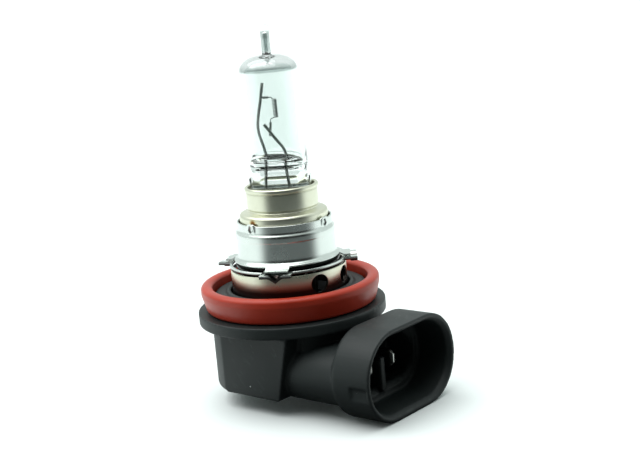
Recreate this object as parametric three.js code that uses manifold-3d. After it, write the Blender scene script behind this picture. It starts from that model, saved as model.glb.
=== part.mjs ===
// Halogen headlight bulb with a three-lug metal cap, a red seal ring and a two-blade side connector.
// Millimetres. The origin is the centre of the flat base, +Z runs up the bulb's axis to the exhaust tip,
// and +X points out of the connector's mouth.

import * as THREE from 'three';
import { mergeVertices } from 'three/addons/utils/BufferGeometryUtils.js';
import Module from 'manifold-3d';

const wasm = await Module();
wasm.setup();

// Clearances and facet counts
const joinGap = 0.3; // between pieces that touch on the real bulb
const weldGap = 0.1; // between small pieces that are welded or crimped together
const turnedSteps = 48;
const glassSteps = 32;
const wireSides = 6;

// Connector housing: round body, flange, spigot for the seal, and the barrel to the connector
const bodyRadius = 13.4;
const bodyTop = 10.5;
const bodyCorner = 0.5;
const bodyFlat = 12.4; // half the distance between the two flats on its sides
const endFaceLow = 6.5; // the flats end in a face that leans out towards the flange
const endFaceHigh = 9.1;
const endFaceInner = 9.3;
const flatStart = -4.9;
const flangeRadius = 15.5;
const flangeTop = 12.4;
const spigotRadius = 12.45;
const deckTop = 15.2;
const lipTop = 15.7;
const lipOuter = 10.5;
const cupBoreRadius = 9.8;
const ledgeTop = 11.2;
const ledgeBottom = 9.4;
const ledgeRadius = 8.2;
const chamberRadius = 10.1;
const chamberFloor = 1.7;
const chamberEnd = 9.4;
const coverRadius = 10.4;
const coverTop = 1.4;

const barrelHalfWidth = 11.3;
const barrelHalfHeight = 4.6;
const barrelCentre = 3.8;
const shroudStart = 16.5;
const shroudEnd = 23.9;
const mouthBevelDepth = 0.8; // lead-in for the plug
const mouthBevelWidth = 0.6;
const shroudCentre = 4.4;
const shroudHalfWidth = 11.55;
const shroudHalfHeight = 7.35;
const shroudCorner = 7.15;
const shroudWall = 1.2;
const socketFloor = 17.4;
const wellStart = 11.8;
const funnelStart = 16.6;
const wellHalfWidth = 9.3;
const wellHalfHeight = 3.6;
const funnelHalfHeight = 5.0;
const keyRibHalfThickness = 0.65;
const keyRibFront = 18.0;
const keyRibTop = 5.2;
const latchRecessStart = 20.2;
const latchRecessEnd = 23.5;
const latchRecessDepth = 0.4;

// Blade terminals
const bladeHeight = 2.8;
const bladeThickness = 0.8;
const bladeChamfer = 0.7;
const bladeTip = 18.0;
const bladeCentre = 4.2;
const bladeSpacing = 6.0;
const riserWidth = 2.0;
const riserOffset = 2.2;
const riserTop = 17.2;

// Seal ring
const sealBottom = 12.6;
const sealShoulder = 15.9;
const sealCrown = 16.75;
const sealCrownRadius = 13.75;
const sealInner = 12.75;
const sealOuterBottom = 13.85;
const sealOuterTop = 14.75;

// Metal cap: base cup, lug ring, focus sleeve and ferrule
const sheet = 0.5;
const cupRadius = 9.5;
const cupBottom = 11.5;
const ventHalfHeight = 1.45;
const ventHalfWidth = 1.6;
const ventCentre = 17.25;
const ventAngles = [-18, 21, 162, 201];
const lugPlane = 19.35; // underside of the lugs, the plane that the lamp locates the bulb by
const lugAngles = [-60, 40, 200];
const lugTipRadius = 11.4;
const lugHalfWidth = 2.55;
const lugRingInner = 9.15;
const lugRingOuter = 9.6;
const ribHalfWidth = 1.2;
const ribDepth = 0.8;
const sleeveRadius = 8.05;
const sleeveBottom = 20.37;
const sleeveTop = 26.9;
const flareRadius = 8.7;
const footReach = 10.3;
const footHalfWidth = 1.9;
const tackAngles = [-92.8, 6.3, 87.2, 186.3];
const ferruleRadius = 5.85;
const ferruleWall = 0.4;
const ferruleBottom = 25.2;
const ferruleTop = 32.4;
const skirtRadius = 7.25;

// Burner: glass tube, flat pinch, wires and filament
const pinchTurn = 30; // direction of the pinch's broad side, in degrees from +X
const tubeRadius = 4.7;
const tubeWall = 0.9;
const pinchHalfWidth = 4.45;
const pinchHalfThickness = 1.45;
const pinchBottom = 26.4;
const pinchTop = 34.55;
const swellLow = 35.55; // where the pinch is as wide as the tube
const swellHigh = 36.45;
const tubeStart = 37.35;
const tubeLean = 0.025; // sideways per millimetre of height, from aiming the filament when the cap is tacked
const domeStart = 50.8;
const domeTop = 53.3;
const tipRadius = 0.75;
const tipTop = 58.1;
const wireRadius = 0.25;
const channelRadius = 0.55;
const wireEnd = 25.5;
const lightCentre = lugPlane + 25.4; // middle of the filament above the lug plane
const coilLength = 3.1;
const coilRadius = 0.41;
const legRadius = 0.1;
const legSleeveRadius = 0.2;

const degrees = Math.PI / 180;

// ---- Geometry helpers ----

function weld(geometry) {
  const bare = geometry.clone();
  bare.deleteAttribute('normal');
  bare.deleteAttribute('uv');
  const merged = mergeVertices(bare, 1e-4);
  const corners = merged.index.array;
  const kept = [];
  for (let i = 0; i < corners.length; i += 3) {
    const [a, b, c] = corners.slice(i, i + 3);
    if (a !== b && b !== c && c !== a) kept.push(a, b, c);
  }
  merged.setIndex(kept);
  return merged;
}

function solidOf(geometry) {
  const welded = weld(geometry);
  const vertProperties = Float32Array.from(welded.attributes.position.array);
  const triVerts = Uint32Array.from(welded.index.array);
  return new wasm.Manifold(new wasm.Mesh({ numProp: 3, vertProperties, triVerts }));
}

function geometryOf(solid) {
  const mesh = solid.getMesh();
  const geometry = new THREE.BufferGeometry();
  geometry.setAttribute('position', new THREE.BufferAttribute(mesh.vertProperties, mesh.numProp));
  geometry.setIndex(new THREE.BufferAttribute(mesh.triVerts, 1));
  return geometry;
}

function combine(base, added, removed) {
  let solid = solidOf(base);
  for (const geometry of added) solid = solid.add(solidOf(geometry));
  for (const geometry of removed) solid = solid.subtract(solidOf(geometry));
  return geometryOf(solid);
}

// A profile of [radius, height] pairs, counter-clockwise, turned about Z
function turned(profile, steps = turnedSteps) {
  const points = profile.map(([radius, height]) => new THREE.Vector2(radius, height));
  return new THREE.LatheGeometry(points, steps).rotateX(Math.PI / 2);
}

function ring(inner, outer, low, high) {
  return turned([[inner, low], [outer, low], [outer, high], [inner, high], [inner, low]]);
}

function disc(radius, low, high) {
  return turned([[0, low], [radius, low], [radius, high], [0, high]]);
}

function block(low, high) {
  const size = new THREE.Vector3().subVectors(high, low);
  const centre = new THREE.Vector3().addVectors(low, high).multiplyScalar(0.5);
  return new THREE.BoxGeometry(size.x, size.y, size.z).translate(centre.x, centre.y, centre.z);
}

// Closed body through rings of points: each ring runs counter-clockwise seen from the far end
function lofted(rings) {
  const count = rings[0].length;
  const last = rings.length - 1;
  const points = rings.flat();
  const corners = [];
  for (let level = 0; level < last; level += 1) {
    for (let i = 0; i < count; i += 1) {
      const a = level * count + i;
      const b = level * count + ((i + 1) % count);
      corners.push(a, b, b + count, a, b + count, a + count);
    }
  }
  for (let i = 1; i < count - 1; i += 1) {
    corners.push(0, i + 1, i);
    corners.push(last * count, last * count + i, last * count + i + 1);
  }
  const geometry = new THREE.BufferGeometry().setFromPoints(points);
  geometry.setIndex(corners);
  return geometry;
}

function ovalOutline(halfWidth, halfHeight, corner) {
  const shape = new THREE.Shape();
  const across = halfWidth - corner;
  const up = halfHeight - corner;
  shape.absarc(across, -up, corner, -Math.PI / 2, 0);
  shape.absarc(across, up, corner, 0, Math.PI / 2);
  shape.absarc(-across, up, corner, Math.PI / 2, Math.PI);
  shape.absarc(-across, -up, corner, Math.PI, 1.5 * Math.PI);
  shape.closePath();
  return shape;
}

// An outline in Y and Z as a ring of points at one X
function ovalRing(x, centre, halfWidth, halfHeight, corner) {
  const outline = ovalOutline(halfWidth, halfHeight, corner).getPoints(6);
  const points = outline.map((point) => new THREE.Vector3(x, point.x, centre + point.y));
  return points.filter((point, i) => i === 0 || point.distanceTo(points[i - 1]) > 1e-3).slice(0, -1);
}

function wirePath(points) {
  return new THREE.CatmullRomCurve3(points, false, 'centripetal');
}

function rod(points, radius, steps, sides = wireSides) {
  const section = new THREE.Shape();
  for (let i = 0; i < sides; i += 1) {
    const angle = (i * 2 * Math.PI) / sides;
    const corner = [radius * Math.cos(angle), radius * Math.sin(angle)];
    if (i === 0) section.moveTo(...corner);
    else section.lineTo(...corner);
  }
  section.closePath();
  return new THREE.ExtrudeGeometry(section, { extrudePath: wirePath(points), steps });
}

// A point of the burner: across along the pinch, out of its broad face, and up
function burnerPoint(across, height, out = 0) {
  return new THREE.Vector3(across, -out, height);
}

const turnBurner = (geometry) => geometry.rotateZ(pinchTurn * degrees);

// ---- Glass and what is sealed in it ----

// Rings that change from a circle, squareness 2, to the pinch's flat section
function burnerRing(height, halfWidth, halfThickness, squareness) {
  const points = [];
  const lean = tubeLean * THREE.MathUtils.clamp(height - pinchTop, 0, domeStart - pinchTop);
  for (let i = 0; i < glassSteps; i += 1) {
    const angle = (i * 2 * Math.PI) / glassSteps;
    const cos = Math.cos(angle);
    const sin = Math.sin(angle);
    const x = halfWidth * Math.sign(cos) * Math.abs(cos) ** (2 / squareness);
    const y = halfThickness * Math.sign(sin) * Math.abs(sin) ** (2 / squareness);
    points.push(new THREE.Vector3(x - lean, y, height));
  }
  return points;
}

function domeRings(radius, start, top, neck) {
  const rings = [];
  const levels = 5;
  for (let i = 0; i <= levels; i += 1) {
    const angle = (i / levels) * 90 * degrees;
    const reach = neck + (radius - neck) * Math.cos(angle) ** 0.85;
    rings.push(burnerRing(start + (top - start) * Math.sin(angle), reach, reach, 2));
  }
  return rings;
}

const longWirePoints = [
  burnerPoint(-1.57, 48.86),
  burnerPoint(-2.1, 46.3),
  burnerPoint(-2.99, 41.85),
  burnerPoint(-2.3, 38.4),
  burnerPoint(-2.1, 36.2),
  burnerPoint(-2.3, 33.5),
  burnerPoint(-2.5, 31.0),
  burnerPoint(-2.5, wireEnd),
];

const shortWirePoints = [
  burnerPoint(-1.89, 42.19),
  burnerPoint(-0.5, 40.2),
  burnerPoint(0.87, 38.19),
  burnerPoint(1.14, 36.62),
  burnerPoint(1.3, 33.5),
  burnerPoint(1.6, 31.0),
  burnerPoint(1.6, wireEnd),
];

function glassEnvelope() {
  const innerRadius = tubeRadius - tubeWall;
  const cavityBottom = 35.85;
  const outside = lofted([
    burnerRing(pinchBottom, pinchHalfWidth, pinchHalfThickness, 5),
    burnerRing(pinchTop, pinchHalfWidth, pinchHalfThickness, 5),
    burnerRing(swellLow, tubeRadius, tubeRadius * 0.48, 3.2),
    burnerRing(swellHigh, tubeRadius, tubeRadius * 0.86, 2.4),
    burnerRing(tubeStart, tubeRadius, tubeRadius, 2),
    ...domeRings(tubeRadius, domeStart, domeTop, tipRadius),
    burnerRing(tipTop - 0.3, tipRadius, tipRadius, 2),
    burnerRing(tipTop, tipRadius * 0.6, tipRadius * 0.6, 2),
  ]);
  const inside = lofted([
    burnerRing(cavityBottom, innerRadius * 0.95, innerRadius * 0.23, 3),
    burnerRing(cavityBottom + 1.3, innerRadius, innerRadius * 0.72, 2.3),
    burnerRing(cavityBottom + 2.8, innerRadius, innerRadius, 2),
    ...domeRings(innerRadius, domeStart, domeTop - tubeWall, 0.3),
  ]);
  const sealed = (points) => points.filter((point) => point.z < tubeStart + 1.9);
  const below = (points) => [...sealed(points), points.at(-1).clone().setZ(pinchBottom - 1)];
  const channels = [longWirePoints, shortWirePoints].map((points) => rod(below(points), channelRadius, 12));
  return turnBurner(combine(outside, [], [inside, ...channels]));
}

function supportWire(points) {
  return turnBurner(rod(points, wireRadius, 24));
}

function filament() {
  const top = lightCentre + coilLength / 2;
  const bottom = lightCentre - coilLength / 2;
  const coil = rod([burnerPoint(0.08, top), burnerPoint(0.22, bottom)], coilRadius, 1, 12);
  const upperLeg = rod(
    [burnerPoint(-0.72, top + 0.25), burnerPoint(-0.3, top + 0.2), burnerPoint(0.1, top - 0.3)],
    legRadius,
    6,
  );
  const lowerLeg = rod(
    [
      burnerPoint(0.2, bottom + 0.2),
      burnerPoint(-0.2, bottom - 0.05),
      burnerPoint(-0.75, bottom - 0.15, -0.4),
      burnerPoint(-0.9, bottom - 0.65, -0.6),
    ],
    legRadius,
    10,
  );
  return turnBurner(combine(coil, [upperLeg, lowerLeg], []));
}

function upperLegSleeve() {
  const height = lightCentre + coilLength / 2 + 0.25;
  return turnBurner(rod([burnerPoint(-1.72, height), burnerPoint(-0.82, height)], legSleeveRadius, 1));
}

function lowerLegSleeve() {
  const top = lightCentre - coilLength / 2 - 0.75;
  return turnBurner(rod([burnerPoint(-0.9, top, -0.6), burnerPoint(-1.2, top - 2.2, -0.6)], legSleeveRadius, 1));
}

// A lead tail runs from the end of a support wire to the inner face of its terminal's riser
function leadTail(wirePoints, side) {
  const start = wirePoints.at(-1).clone();
  start.applyAxisAngle(new THREE.Vector3(0, 0, 1), pinchTurn * degrees);
  const inset = bladeSpacing / 2 - bladeThickness / 2 - weldGap - wireRadius;
  const points = [
    new THREE.Vector3(start.x, start.y, wireEnd - weldGap),
    new THREE.Vector3(start.x, start.y, wireEnd - 1.6),
    new THREE.Vector3(side * riserOffset, side * inset, riserTop + 0.6),
    new THREE.Vector3(side * riserOffset, side * inset, riserTop - 2.4),
  ];
  return rod(points, wireRadius, 14);
}

// ---- Metal cap ----

function pinchClamp() {
  const wall = 0.25;
  const gap = 0.25;
  const tongueTop = 33.7;
  const clampBottom = 27.4;
  const clampTop = 32.1;
  const hoop = (grow, low, high) => {
    const ringAt = (height) => burnerRing(height, pinchHalfWidth + grow, pinchHalfThickness + grow, 5);
    return lofted([ringAt(low), ringAt(high)]);
  };
  const tongues = [-1, 1].map((side) => {
    const reach = pinchHalfWidth + gap + wall;
    const inner = Math.min(side * (reach - wall), side * reach);
    const outer = Math.max(side * (reach - wall), side * reach);
    return block(new THREE.Vector3(inner, -0.8, clampTop - 1), new THREE.Vector3(outer, 0.8, tongueTop));
  });
  const opening = hoop(gap, clampBottom - 1, clampTop + 1);
  return turnBurner(combine(hoop(gap + wall, clampBottom, clampTop), tongues, [opening]));
}

function upperFerrule() {
  const bead = 0.18;
  const inner = ferruleRadius - ferruleWall;
  const shoulder = 28.1;
  return turned([
    [skirtRadius - ferruleWall, ferruleBottom],
    [skirtRadius, ferruleBottom],
    [skirtRadius, shoulder - 0.35],
    [skirtRadius - 0.25, shoulder],
    [ferruleRadius + 0.35, shoulder + 0.2],
    [ferruleRadius, shoulder + 0.45],
    [ferruleRadius, ferruleTop - 0.85],
    [ferruleRadius + bead, ferruleTop - 0.6],
    [ferruleRadius + bead, ferruleTop - 0.2],
    [ferruleRadius - 0.05, ferruleTop],
    [inner, ferruleTop - 0.1],
    [inner, shoulder - 0.2],
    [skirtRadius - ferruleWall, shoulder - 0.55],
    [skirtRadius - ferruleWall, ferruleBottom],
  ]);
}

// A flat strip lying outwards along one direction, as the feet and tongues are
function strip(angle, from, to, halfWidth, low, high) {
  const flat = block(new THREE.Vector3(from, -halfWidth, low), new THREE.Vector3(to, halfWidth, high));
  return flat.rotateZ(angle * degrees);
}

function focusSleeve() {
  const wall = 0.3;
  const inner = sleeveRadius - wall;
  const neck = 7.8;
  const stepLow = 24.0;
  const stepHigh = 25.6;
  const flareStart = 20.9;
  const footBottom = lugPlane + sheet + weldGap;
  const tube = turned([
    [flareRadius - 0.75, sleeveBottom],
    [flareRadius, sleeveBottom],
    [flareRadius, sleeveBottom + 0.25],
    [sleeveRadius, flareStart],
    [sleeveRadius, stepLow],
    [sleeveRadius + 0.12, stepLow + 0.3],
    [sleeveRadius + 0.05, stepHigh - 0.3],
    [neck, stepHigh],
    [neck, sleeveTop],
    [neck - wall, sleeveTop],
    [neck - wall, stepHigh - 0.3],
    [inner, stepLow],
    [inner, flareStart - 0.1],
    [flareRadius - 0.75, sleeveBottom],
  ]);
  const feet = lugAngles.map((angle) => {
    return strip(angle, flareRadius - 0.6, footReach, footHalfWidth, footBottom, sleeveBottom + 0.1);
  });
  const tacks = tackAngles.map((angle) => strip(angle, neck - 0.1, neck + 0.2, 0.65, stepHigh + 0.1, sleeveTop + 0.3));
  return combine(tube, [...feet, ...tacks], []);
}

// A V-shaped prism along a lug, with its upper corners at one height
function lugPrism(angle, cornerHeight, crown, start, end) {
  const outline = new THREE.Shape();
  outline.moveTo(-ribHalfWidth, cornerHeight);
  outline.lineTo(0, cornerHeight - ribDepth);
  outline.lineTo(ribHalfWidth, cornerHeight);
  outline.lineTo(ribHalfWidth, cornerHeight + crown);
  outline.lineTo(-ribHalfWidth, cornerHeight + crown);
  outline.closePath();
  const prism = new THREE.ExtrudeGeometry(outline, { depth: end - start, bevelEnabled: false });
  const toLug = new THREE.Matrix4().makeBasis(
    new THREE.Vector3(0, 1, 0),
    new THREE.Vector3(0, 0, 1),
    new THREE.Vector3(1, 0, 0),
  );
  return prism.applyMatrix4(toLug).translate(start, 0, 0).rotateZ(angle * degrees);
}

function lugRing() {
  const plate = ring(lugRingInner, lugRingOuter, lugPlane, lugPlane + sheet);
  const lugs = lugAngles.map((angle) => {
    return strip(angle, lugRingInner + 0.05, lugTipRadius, lugHalfWidth, lugPlane, lugPlane + sheet);
  });
  const start = lugRingOuter + 0.15;
  const end = lugTipRadius;
  const ribs = lugAngles.map((angle) => lugPrism(angle, lugPlane, sheet / 2, start, end - 0.2));
  const grooves = lugAngles.map((angle) => lugPrism(angle, lugPlane + sheet, 0.5, start + 0.3, end + 0.5));
  return combine(plate, [...lugs, ...ribs], grooves);
}

function baseCup() {
  const inner = cupRadius - sheet;
  const top = lugPlane - joinGap;
  const shell = ring(inner, cupRadius, cupBottom, top);
  const vents = ventAngles.map((angle) => {
    const drill = new THREE.CylinderGeometry(1, 1, 3, 20).rotateZ(Math.PI / 2);
    drill.scale(1, ventHalfWidth, ventHalfHeight);
    return drill.translate(cupRadius, 0, ventCentre).rotateZ(angle * degrees);
  });
  return combine(shell, [], vents);
}

// ---- Housing, terminals and seals ----

function bladeOutline(grow) {
  const low = bladeCentre - bladeHeight / 2 - grow;
  const high = bladeCentre + bladeHeight / 2 + grow;
  const riserBack = -riserWidth / 2 - grow;
  const riserFront = riserWidth / 2 + grow;
  return { low, high, riserBack, riserFront };
}

// One stamping: the blade, the bar under the bulb and the riser that the lead is welded to
function bladeTerminal(side) {
  const { low, high, riserBack, riserFront } = bladeOutline(0);
  const centre = side * riserOffset;
  const outline = new THREE.Shape();
  outline.moveTo(centre + riserBack, low);
  outline.lineTo(bladeTip - bladeChamfer, low);
  outline.lineTo(bladeTip, low + bladeChamfer);
  outline.lineTo(bladeTip, high - bladeChamfer);
  outline.lineTo(bladeTip - bladeChamfer, high);
  outline.lineTo(centre + riserFront, high);
  outline.lineTo(centre + riserFront, riserTop);
  outline.lineTo(centre + riserBack, riserTop);
  outline.closePath();
  const plate = new THREE.ExtrudeGeometry(outline, { depth: bladeThickness, bevelEnabled: false });
  return plate.rotateX(Math.PI / 2).translate(0, side * (bladeSpacing / 2) + bladeThickness / 2, 0);
}

// The room that a terminal's bar needs in the housing and the sealing compound
function barSlot(side, from, to) {
  const half = bladeThickness / 2 + joinGap;
  const middle = (side * bladeSpacing) / 2;
  const { low, high } = bladeOutline(joinGap);
  return block(new THREE.Vector3(from, middle - half, low), new THREE.Vector3(to, middle + half, high));
}

function riserSlot(side, low, high) {
  const half = bladeThickness / 2 + joinGap;
  const middle = (side * bladeSpacing) / 2;
  const { riserBack, riserFront } = bladeOutline(joinGap);
  const centre = side * riserOffset;
  const from = new THREE.Vector3(centre + riserBack, middle - half, low);
  const to = new THREE.Vector3(centre + riserFront, middle + half, high);
  return block(from, to);
}

function terminalCarrier() {
  const top = 13.9;
  const radius = cupRadius - sheet - joinGap;
  const slots = [-1, 1].map((side) => riserSlot(side, cupBottom - 1, top + 1));
  return combine(disc(radius, cupBottom, top), [], slots);
}

function sealingCompound() {
  const low = chamberFloor + joinGap;
  const high = 6.6;
  const front = new THREE.Vector3(chamberEnd - joinGap, chamberRadius + 1, high + 1);
  const back = new THREE.Vector3(3.8, -chamberRadius - 1, low - 1);
  const fill = solidOf(disc(chamberRadius - joinGap, low, high)).intersect(solidOf(block(back, front)));
  const slots = [-1, 1].map((side) => barSlot(side, 0, chamberEnd + 2));
  return combine(geometryOf(fill), [], slots);
}

// Four-cornered column from y0 to y1 whose ends in X differ at the bottom and at the top
function leaningColumn(y0, y1, low, high) {
  const ring = ([x0, x1, z]) => [[x0, y0, z], [x1, y0, z], [x1, y1, z], [x0, y1, z]]
    .map((corner) => new THREE.Vector3(...corner));
  return lofted([ring(low), ring(high)]);
}

function housingBody() {
  const edge = [];
  const steps = 4;
  for (let i = 0; i <= steps; i += 1) {
    const angle = (i / steps) * 90 * degrees;
    const reach = bodyRadius - bodyCorner + bodyCorner * Math.sin(angle);
    edge.push([reach, bodyCorner - bodyCorner * Math.cos(angle)]);
  }
  const round = turned([
    [0, 0],
    ...edge,
    [bodyRadius, bodyTop],
    [flangeRadius, bodyTop],
    [flangeRadius, flangeTop],
    [spigotRadius, flangeTop],
    [spigotRadius, deckTop - 0.4],
    [spigotRadius - 0.4, deckTop],
    [lipOuter, deckTop],
    [lipOuter, lipTop],
    [0, lipTop],
  ]);
  const beyond = flangeRadius + 1;
  const lean = (endFaceHigh - endFaceLow) / bodyTop;
  const cheeks = leaningColumn(
    -bodyFlat,
    bodyFlat,
    [flatStart, endFaceLow, 0],
    [flatStart, endFaceHigh + lean * 0.5, bodyTop + 0.5],
  );
  const besideBarrel = [-1, 1].map((side) => leaningColumn(
    Math.min(side * endFaceInner, side * beyond),
    Math.max(side * endFaceInner, side * beyond),
    [endFaceLow - lean, beyond, -1],
    [endFaceHigh, beyond, bodyTop],
  ));
  const besideFlats = [-1, 1].map((side) => block(
    new THREE.Vector3(-beyond, Math.min(side * bodyFlat, side * beyond), -1),
    new THREE.Vector3(beyond, Math.max(side * bodyFlat, side * beyond), bodyTop),
  ));
  return combine(round, [cheeks], [...besideFlats, ...besideBarrel]);
}

function connectorHousing() {
  const innerHalfWidth = shroudHalfWidth - shroudWall;
  const innerHalfHeight = shroudHalfHeight - shroudWall;
  const innerCorner = shroudCorner - shroudWall;
  const round = 0.8;
  const barrel = lofted([
    ovalRing(2, barrelCentre, barrelHalfWidth, barrelHalfHeight, barrelHalfHeight - 0.1),
    ovalRing(shroudStart + 0.5, barrelCentre, barrelHalfWidth, barrelHalfHeight, barrelHalfHeight - 0.1),
  ]);
  const shroud = lofted([
    ovalRing(shroudStart, shroudCentre, shroudHalfWidth - round, shroudHalfHeight - round, shroudCorner - round),
    ovalRing(shroudStart + round, shroudCentre, shroudHalfWidth, shroudHalfHeight, shroudCorner),
    ovalRing(shroudEnd, shroudCentre, shroudHalfWidth, shroudHalfHeight, shroudCorner),
  ]);
  const socketRing = (x, grow) => ovalRing(
    x,
    shroudCentre,
    innerHalfWidth + grow,
    innerHalfHeight + grow,
    innerCorner + grow,
  );
  const socket = lofted([
    socketRing(socketFloor, 0),
    socketRing(shroudEnd - mouthBevelDepth, 0),
    socketRing(shroudEnd, mouthBevelWidth),
    socketRing(shroudEnd + mouthBevelDepth, mouthBevelWidth * 2),
  ]);
  const well = lofted([
    ovalRing(wellStart, barrelCentre, wellHalfWidth, wellHalfHeight, wellHalfHeight - 0.1),
    ovalRing(funnelStart, barrelCentre, wellHalfWidth, wellHalfHeight, wellHalfHeight - 0.1),
    ovalRing(socketFloor, shroudCentre, wellHalfWidth, funnelHalfHeight, wellHalfHeight),
    ovalRing(socketFloor + 0.5, shroudCentre, wellHalfWidth, funnelHalfHeight, wellHalfHeight),
  ]);
  const beyondChamber = new THREE.Vector3(chamberEnd + 5, chamberRadius + 1, ledgeBottom + 1);
  const chamberEndWall = block(new THREE.Vector3(chamberEnd, -chamberRadius - 1, chamberFloor), beyondChamber);
  const chamber = combine(disc(chamberRadius, chamberFloor - 0.5, ledgeBottom), [], [chamberEndWall]);
  const coverSeat = disc(coverRadius + joinGap, -1, chamberFloor);
  const ledgeHole = disc(ledgeRadius, ledgeBottom - 1, ledgeTop + 1);
  const cupBore = disc(cupBoreRadius, ledgeTop, lipTop + 1);
  const slots = [-1, 1].map((side) => barSlot(side, 0, wellStart + 1));
  const latchRecess = block(
    new THREE.Vector3(latchRecessStart, -shroudHalfWidth - 1, shroudCentre - 2.4),
    new THREE.Vector3(latchRecessEnd, -shroudHalfWidth + latchRecessDepth, shroudCentre - 0.3),
  );
  const keyRib = block(
    new THREE.Vector3(wellStart - 0.5, -keyRibHalfThickness, -0.4),
    new THREE.Vector3(keyRibFront, keyRibHalfThickness, keyRibTop),
  );
  const outside = combine(housingBody(), [barrel, shroud], []);
  const hollow = combine(outside, [], [socket, well, chamber, coverSeat, ledgeHole, cupBore, latchRecess, ...slots]);
  return combine(hollow, [keyRib], []);
}

function sealRing() {
  return turned([
    [sealInner, sealBottom],
    [sealOuterBottom, sealBottom],
    [sealOuterBottom + 0.25, sealBottom + 0.3],
    [sealOuterTop, sealShoulder - 0.5],
    [sealOuterTop, sealShoulder],
    [sealOuterTop - 0.35, sealCrown - 0.3],
    [sealCrownRadius, sealCrown],
    [sealInner + 0.3, sealCrown - 0.35],
    [sealInner, sealShoulder],
    [sealInner, sealBottom],
  ]);
}

// ---- Finishes ----

const finish = (color, roughness, metalness) => new THREE.MeshStandardMaterial({ color, roughness, metalness });
const clearGlass = finish(0xdfeae6, 0.05, 0);
const tungsten = finish(0x5a5f5c, 0.45, 0.9);
const molybdenum = finish(0x6d746f, 0.4, 0.9);
const nickelledWire = finish(0xb9b6aa, 0.3, 1);
const springSteel = finish(0xc4c6c2, 0.3, 1);
const nickelledSteel = finish(0xc9c6b4, 0.25, 1);
const brightSteel = finish(0xc8ccca, 0.22, 1);
const tinnedBrass = finish(0xd0d0cc, 0.3, 1);
const blackPlastic = finish(0x1b1e20, 0.55, 0);
const greyPlastic = finish(0x2c2f31, 0.6, 0);
const darkResin = finish(0x14161a, 0.35, 0);
const redSilicone = finish(0xb8412f, 0.45, 0);

// ---- The bulb ----

const bulb = new THREE.Group();

function place(name, geometry, material) {
  const mesh = new THREE.Mesh(weld(geometry), material);
  mesh.name = name;
  bulb.add(mesh);
}

place('glass_envelope', glassEnvelope(), clearGlass);
place('filament', filament(), tungsten);
place('upper_leg_sleeve', upperLegSleeve(), molybdenum);
place('lower_leg_sleeve', lowerLegSleeve(), molybdenum);
place('long_support_wire', supportWire(longWirePoints), molybdenum);
place('short_support_wire', supportWire(shortWirePoints), molybdenum);
place('long_lead_tail', leadTail(longWirePoints, -1), nickelledWire);
place('short_lead_tail', leadTail(shortWirePoints, 1), nickelledWire);
place('pinch_clamp', pinchClamp(), springSteel);
place('upper_ferrule', upperFerrule(), nickelledSteel);
place('focus_sleeve', focusSleeve(), brightSteel);
place('lug_ring', lugRing(), brightSteel);
place('base_cup', baseCup(), nickelledSteel);
place('terminal_carrier', terminalCarrier(), greyPlastic);
place('blade_terminal_left', bladeTerminal(-1), tinnedBrass);
place('blade_terminal_right', bladeTerminal(1), tinnedBrass);
place('connector_housing', connectorHousing(), blackPlastic);
place('sealing_compound', sealingCompound(), darkResin);
place('bottom_cover', disc(coverRadius, 0, coverTop), blackPlastic);
place('seal_ring', sealRing(), redSilicone);

export default bulb;
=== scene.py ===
import math

import bmesh
import bpy
from mathutils import Matrix, Vector


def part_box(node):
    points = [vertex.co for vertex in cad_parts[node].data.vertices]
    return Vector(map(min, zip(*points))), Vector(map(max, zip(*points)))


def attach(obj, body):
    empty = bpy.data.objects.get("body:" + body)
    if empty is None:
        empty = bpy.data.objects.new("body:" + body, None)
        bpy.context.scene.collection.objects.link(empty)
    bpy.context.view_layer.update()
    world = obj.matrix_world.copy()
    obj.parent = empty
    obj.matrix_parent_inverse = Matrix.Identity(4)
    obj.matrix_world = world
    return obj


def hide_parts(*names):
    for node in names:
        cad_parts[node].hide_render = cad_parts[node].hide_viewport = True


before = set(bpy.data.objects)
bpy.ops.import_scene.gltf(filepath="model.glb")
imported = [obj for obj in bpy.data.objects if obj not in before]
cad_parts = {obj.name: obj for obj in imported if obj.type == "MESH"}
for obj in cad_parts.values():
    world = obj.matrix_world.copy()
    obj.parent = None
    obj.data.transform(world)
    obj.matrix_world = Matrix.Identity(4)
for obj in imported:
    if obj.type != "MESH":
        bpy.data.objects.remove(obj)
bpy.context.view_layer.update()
mm = 0.001
print("frame loaded with", len(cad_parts), "nodes")


# Mesh helpers

def boxOf(node):
    low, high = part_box(node)
    return low / mm, high / mm


def newPiece(name, points, faces):
    mesh = bpy.data.meshes.new(name)
    mesh.from_pydata([Vector(point) * mm for point in points], [], faces)
    piece = bpy.data.objects.new(name, mesh)
    bpy.context.scene.collection.objects.link(piece)
    tidyMesh(piece)
    return piece


def tidyMesh(piece):
    work = bmesh.new()
    work.from_mesh(piece.data)
    bmesh.ops.remove_doubles(work, verts=work.verts, dist=0.0005 * mm)
    bmesh.ops.recalc_face_normals(work, faces=work.faces)
    work.to_mesh(piece.data)
    work.free()


def shadeByAngle(piece, degrees=35):
    piece.data.shade_smooth()
    piece.data.set_sharp_from_angle(angle=math.radians(degrees))


def applyModifiers(piece):
    seen = piece.evaluated_get(bpy.context.evaluated_depsgraph_get())
    made = bpy.data.meshes.new_from_object(seen)
    piece.modifiers.clear()
    piece.data = made


def combine(piece, others, operation):
    for other in others:
        cut = piece.modifiers.new("cut", "BOOLEAN")
        cut.operation = operation
        cut.solver = "EXACT"
        cut.object = other
        applyModifiers(piece)
        bpy.data.objects.remove(other)
    return piece


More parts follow.
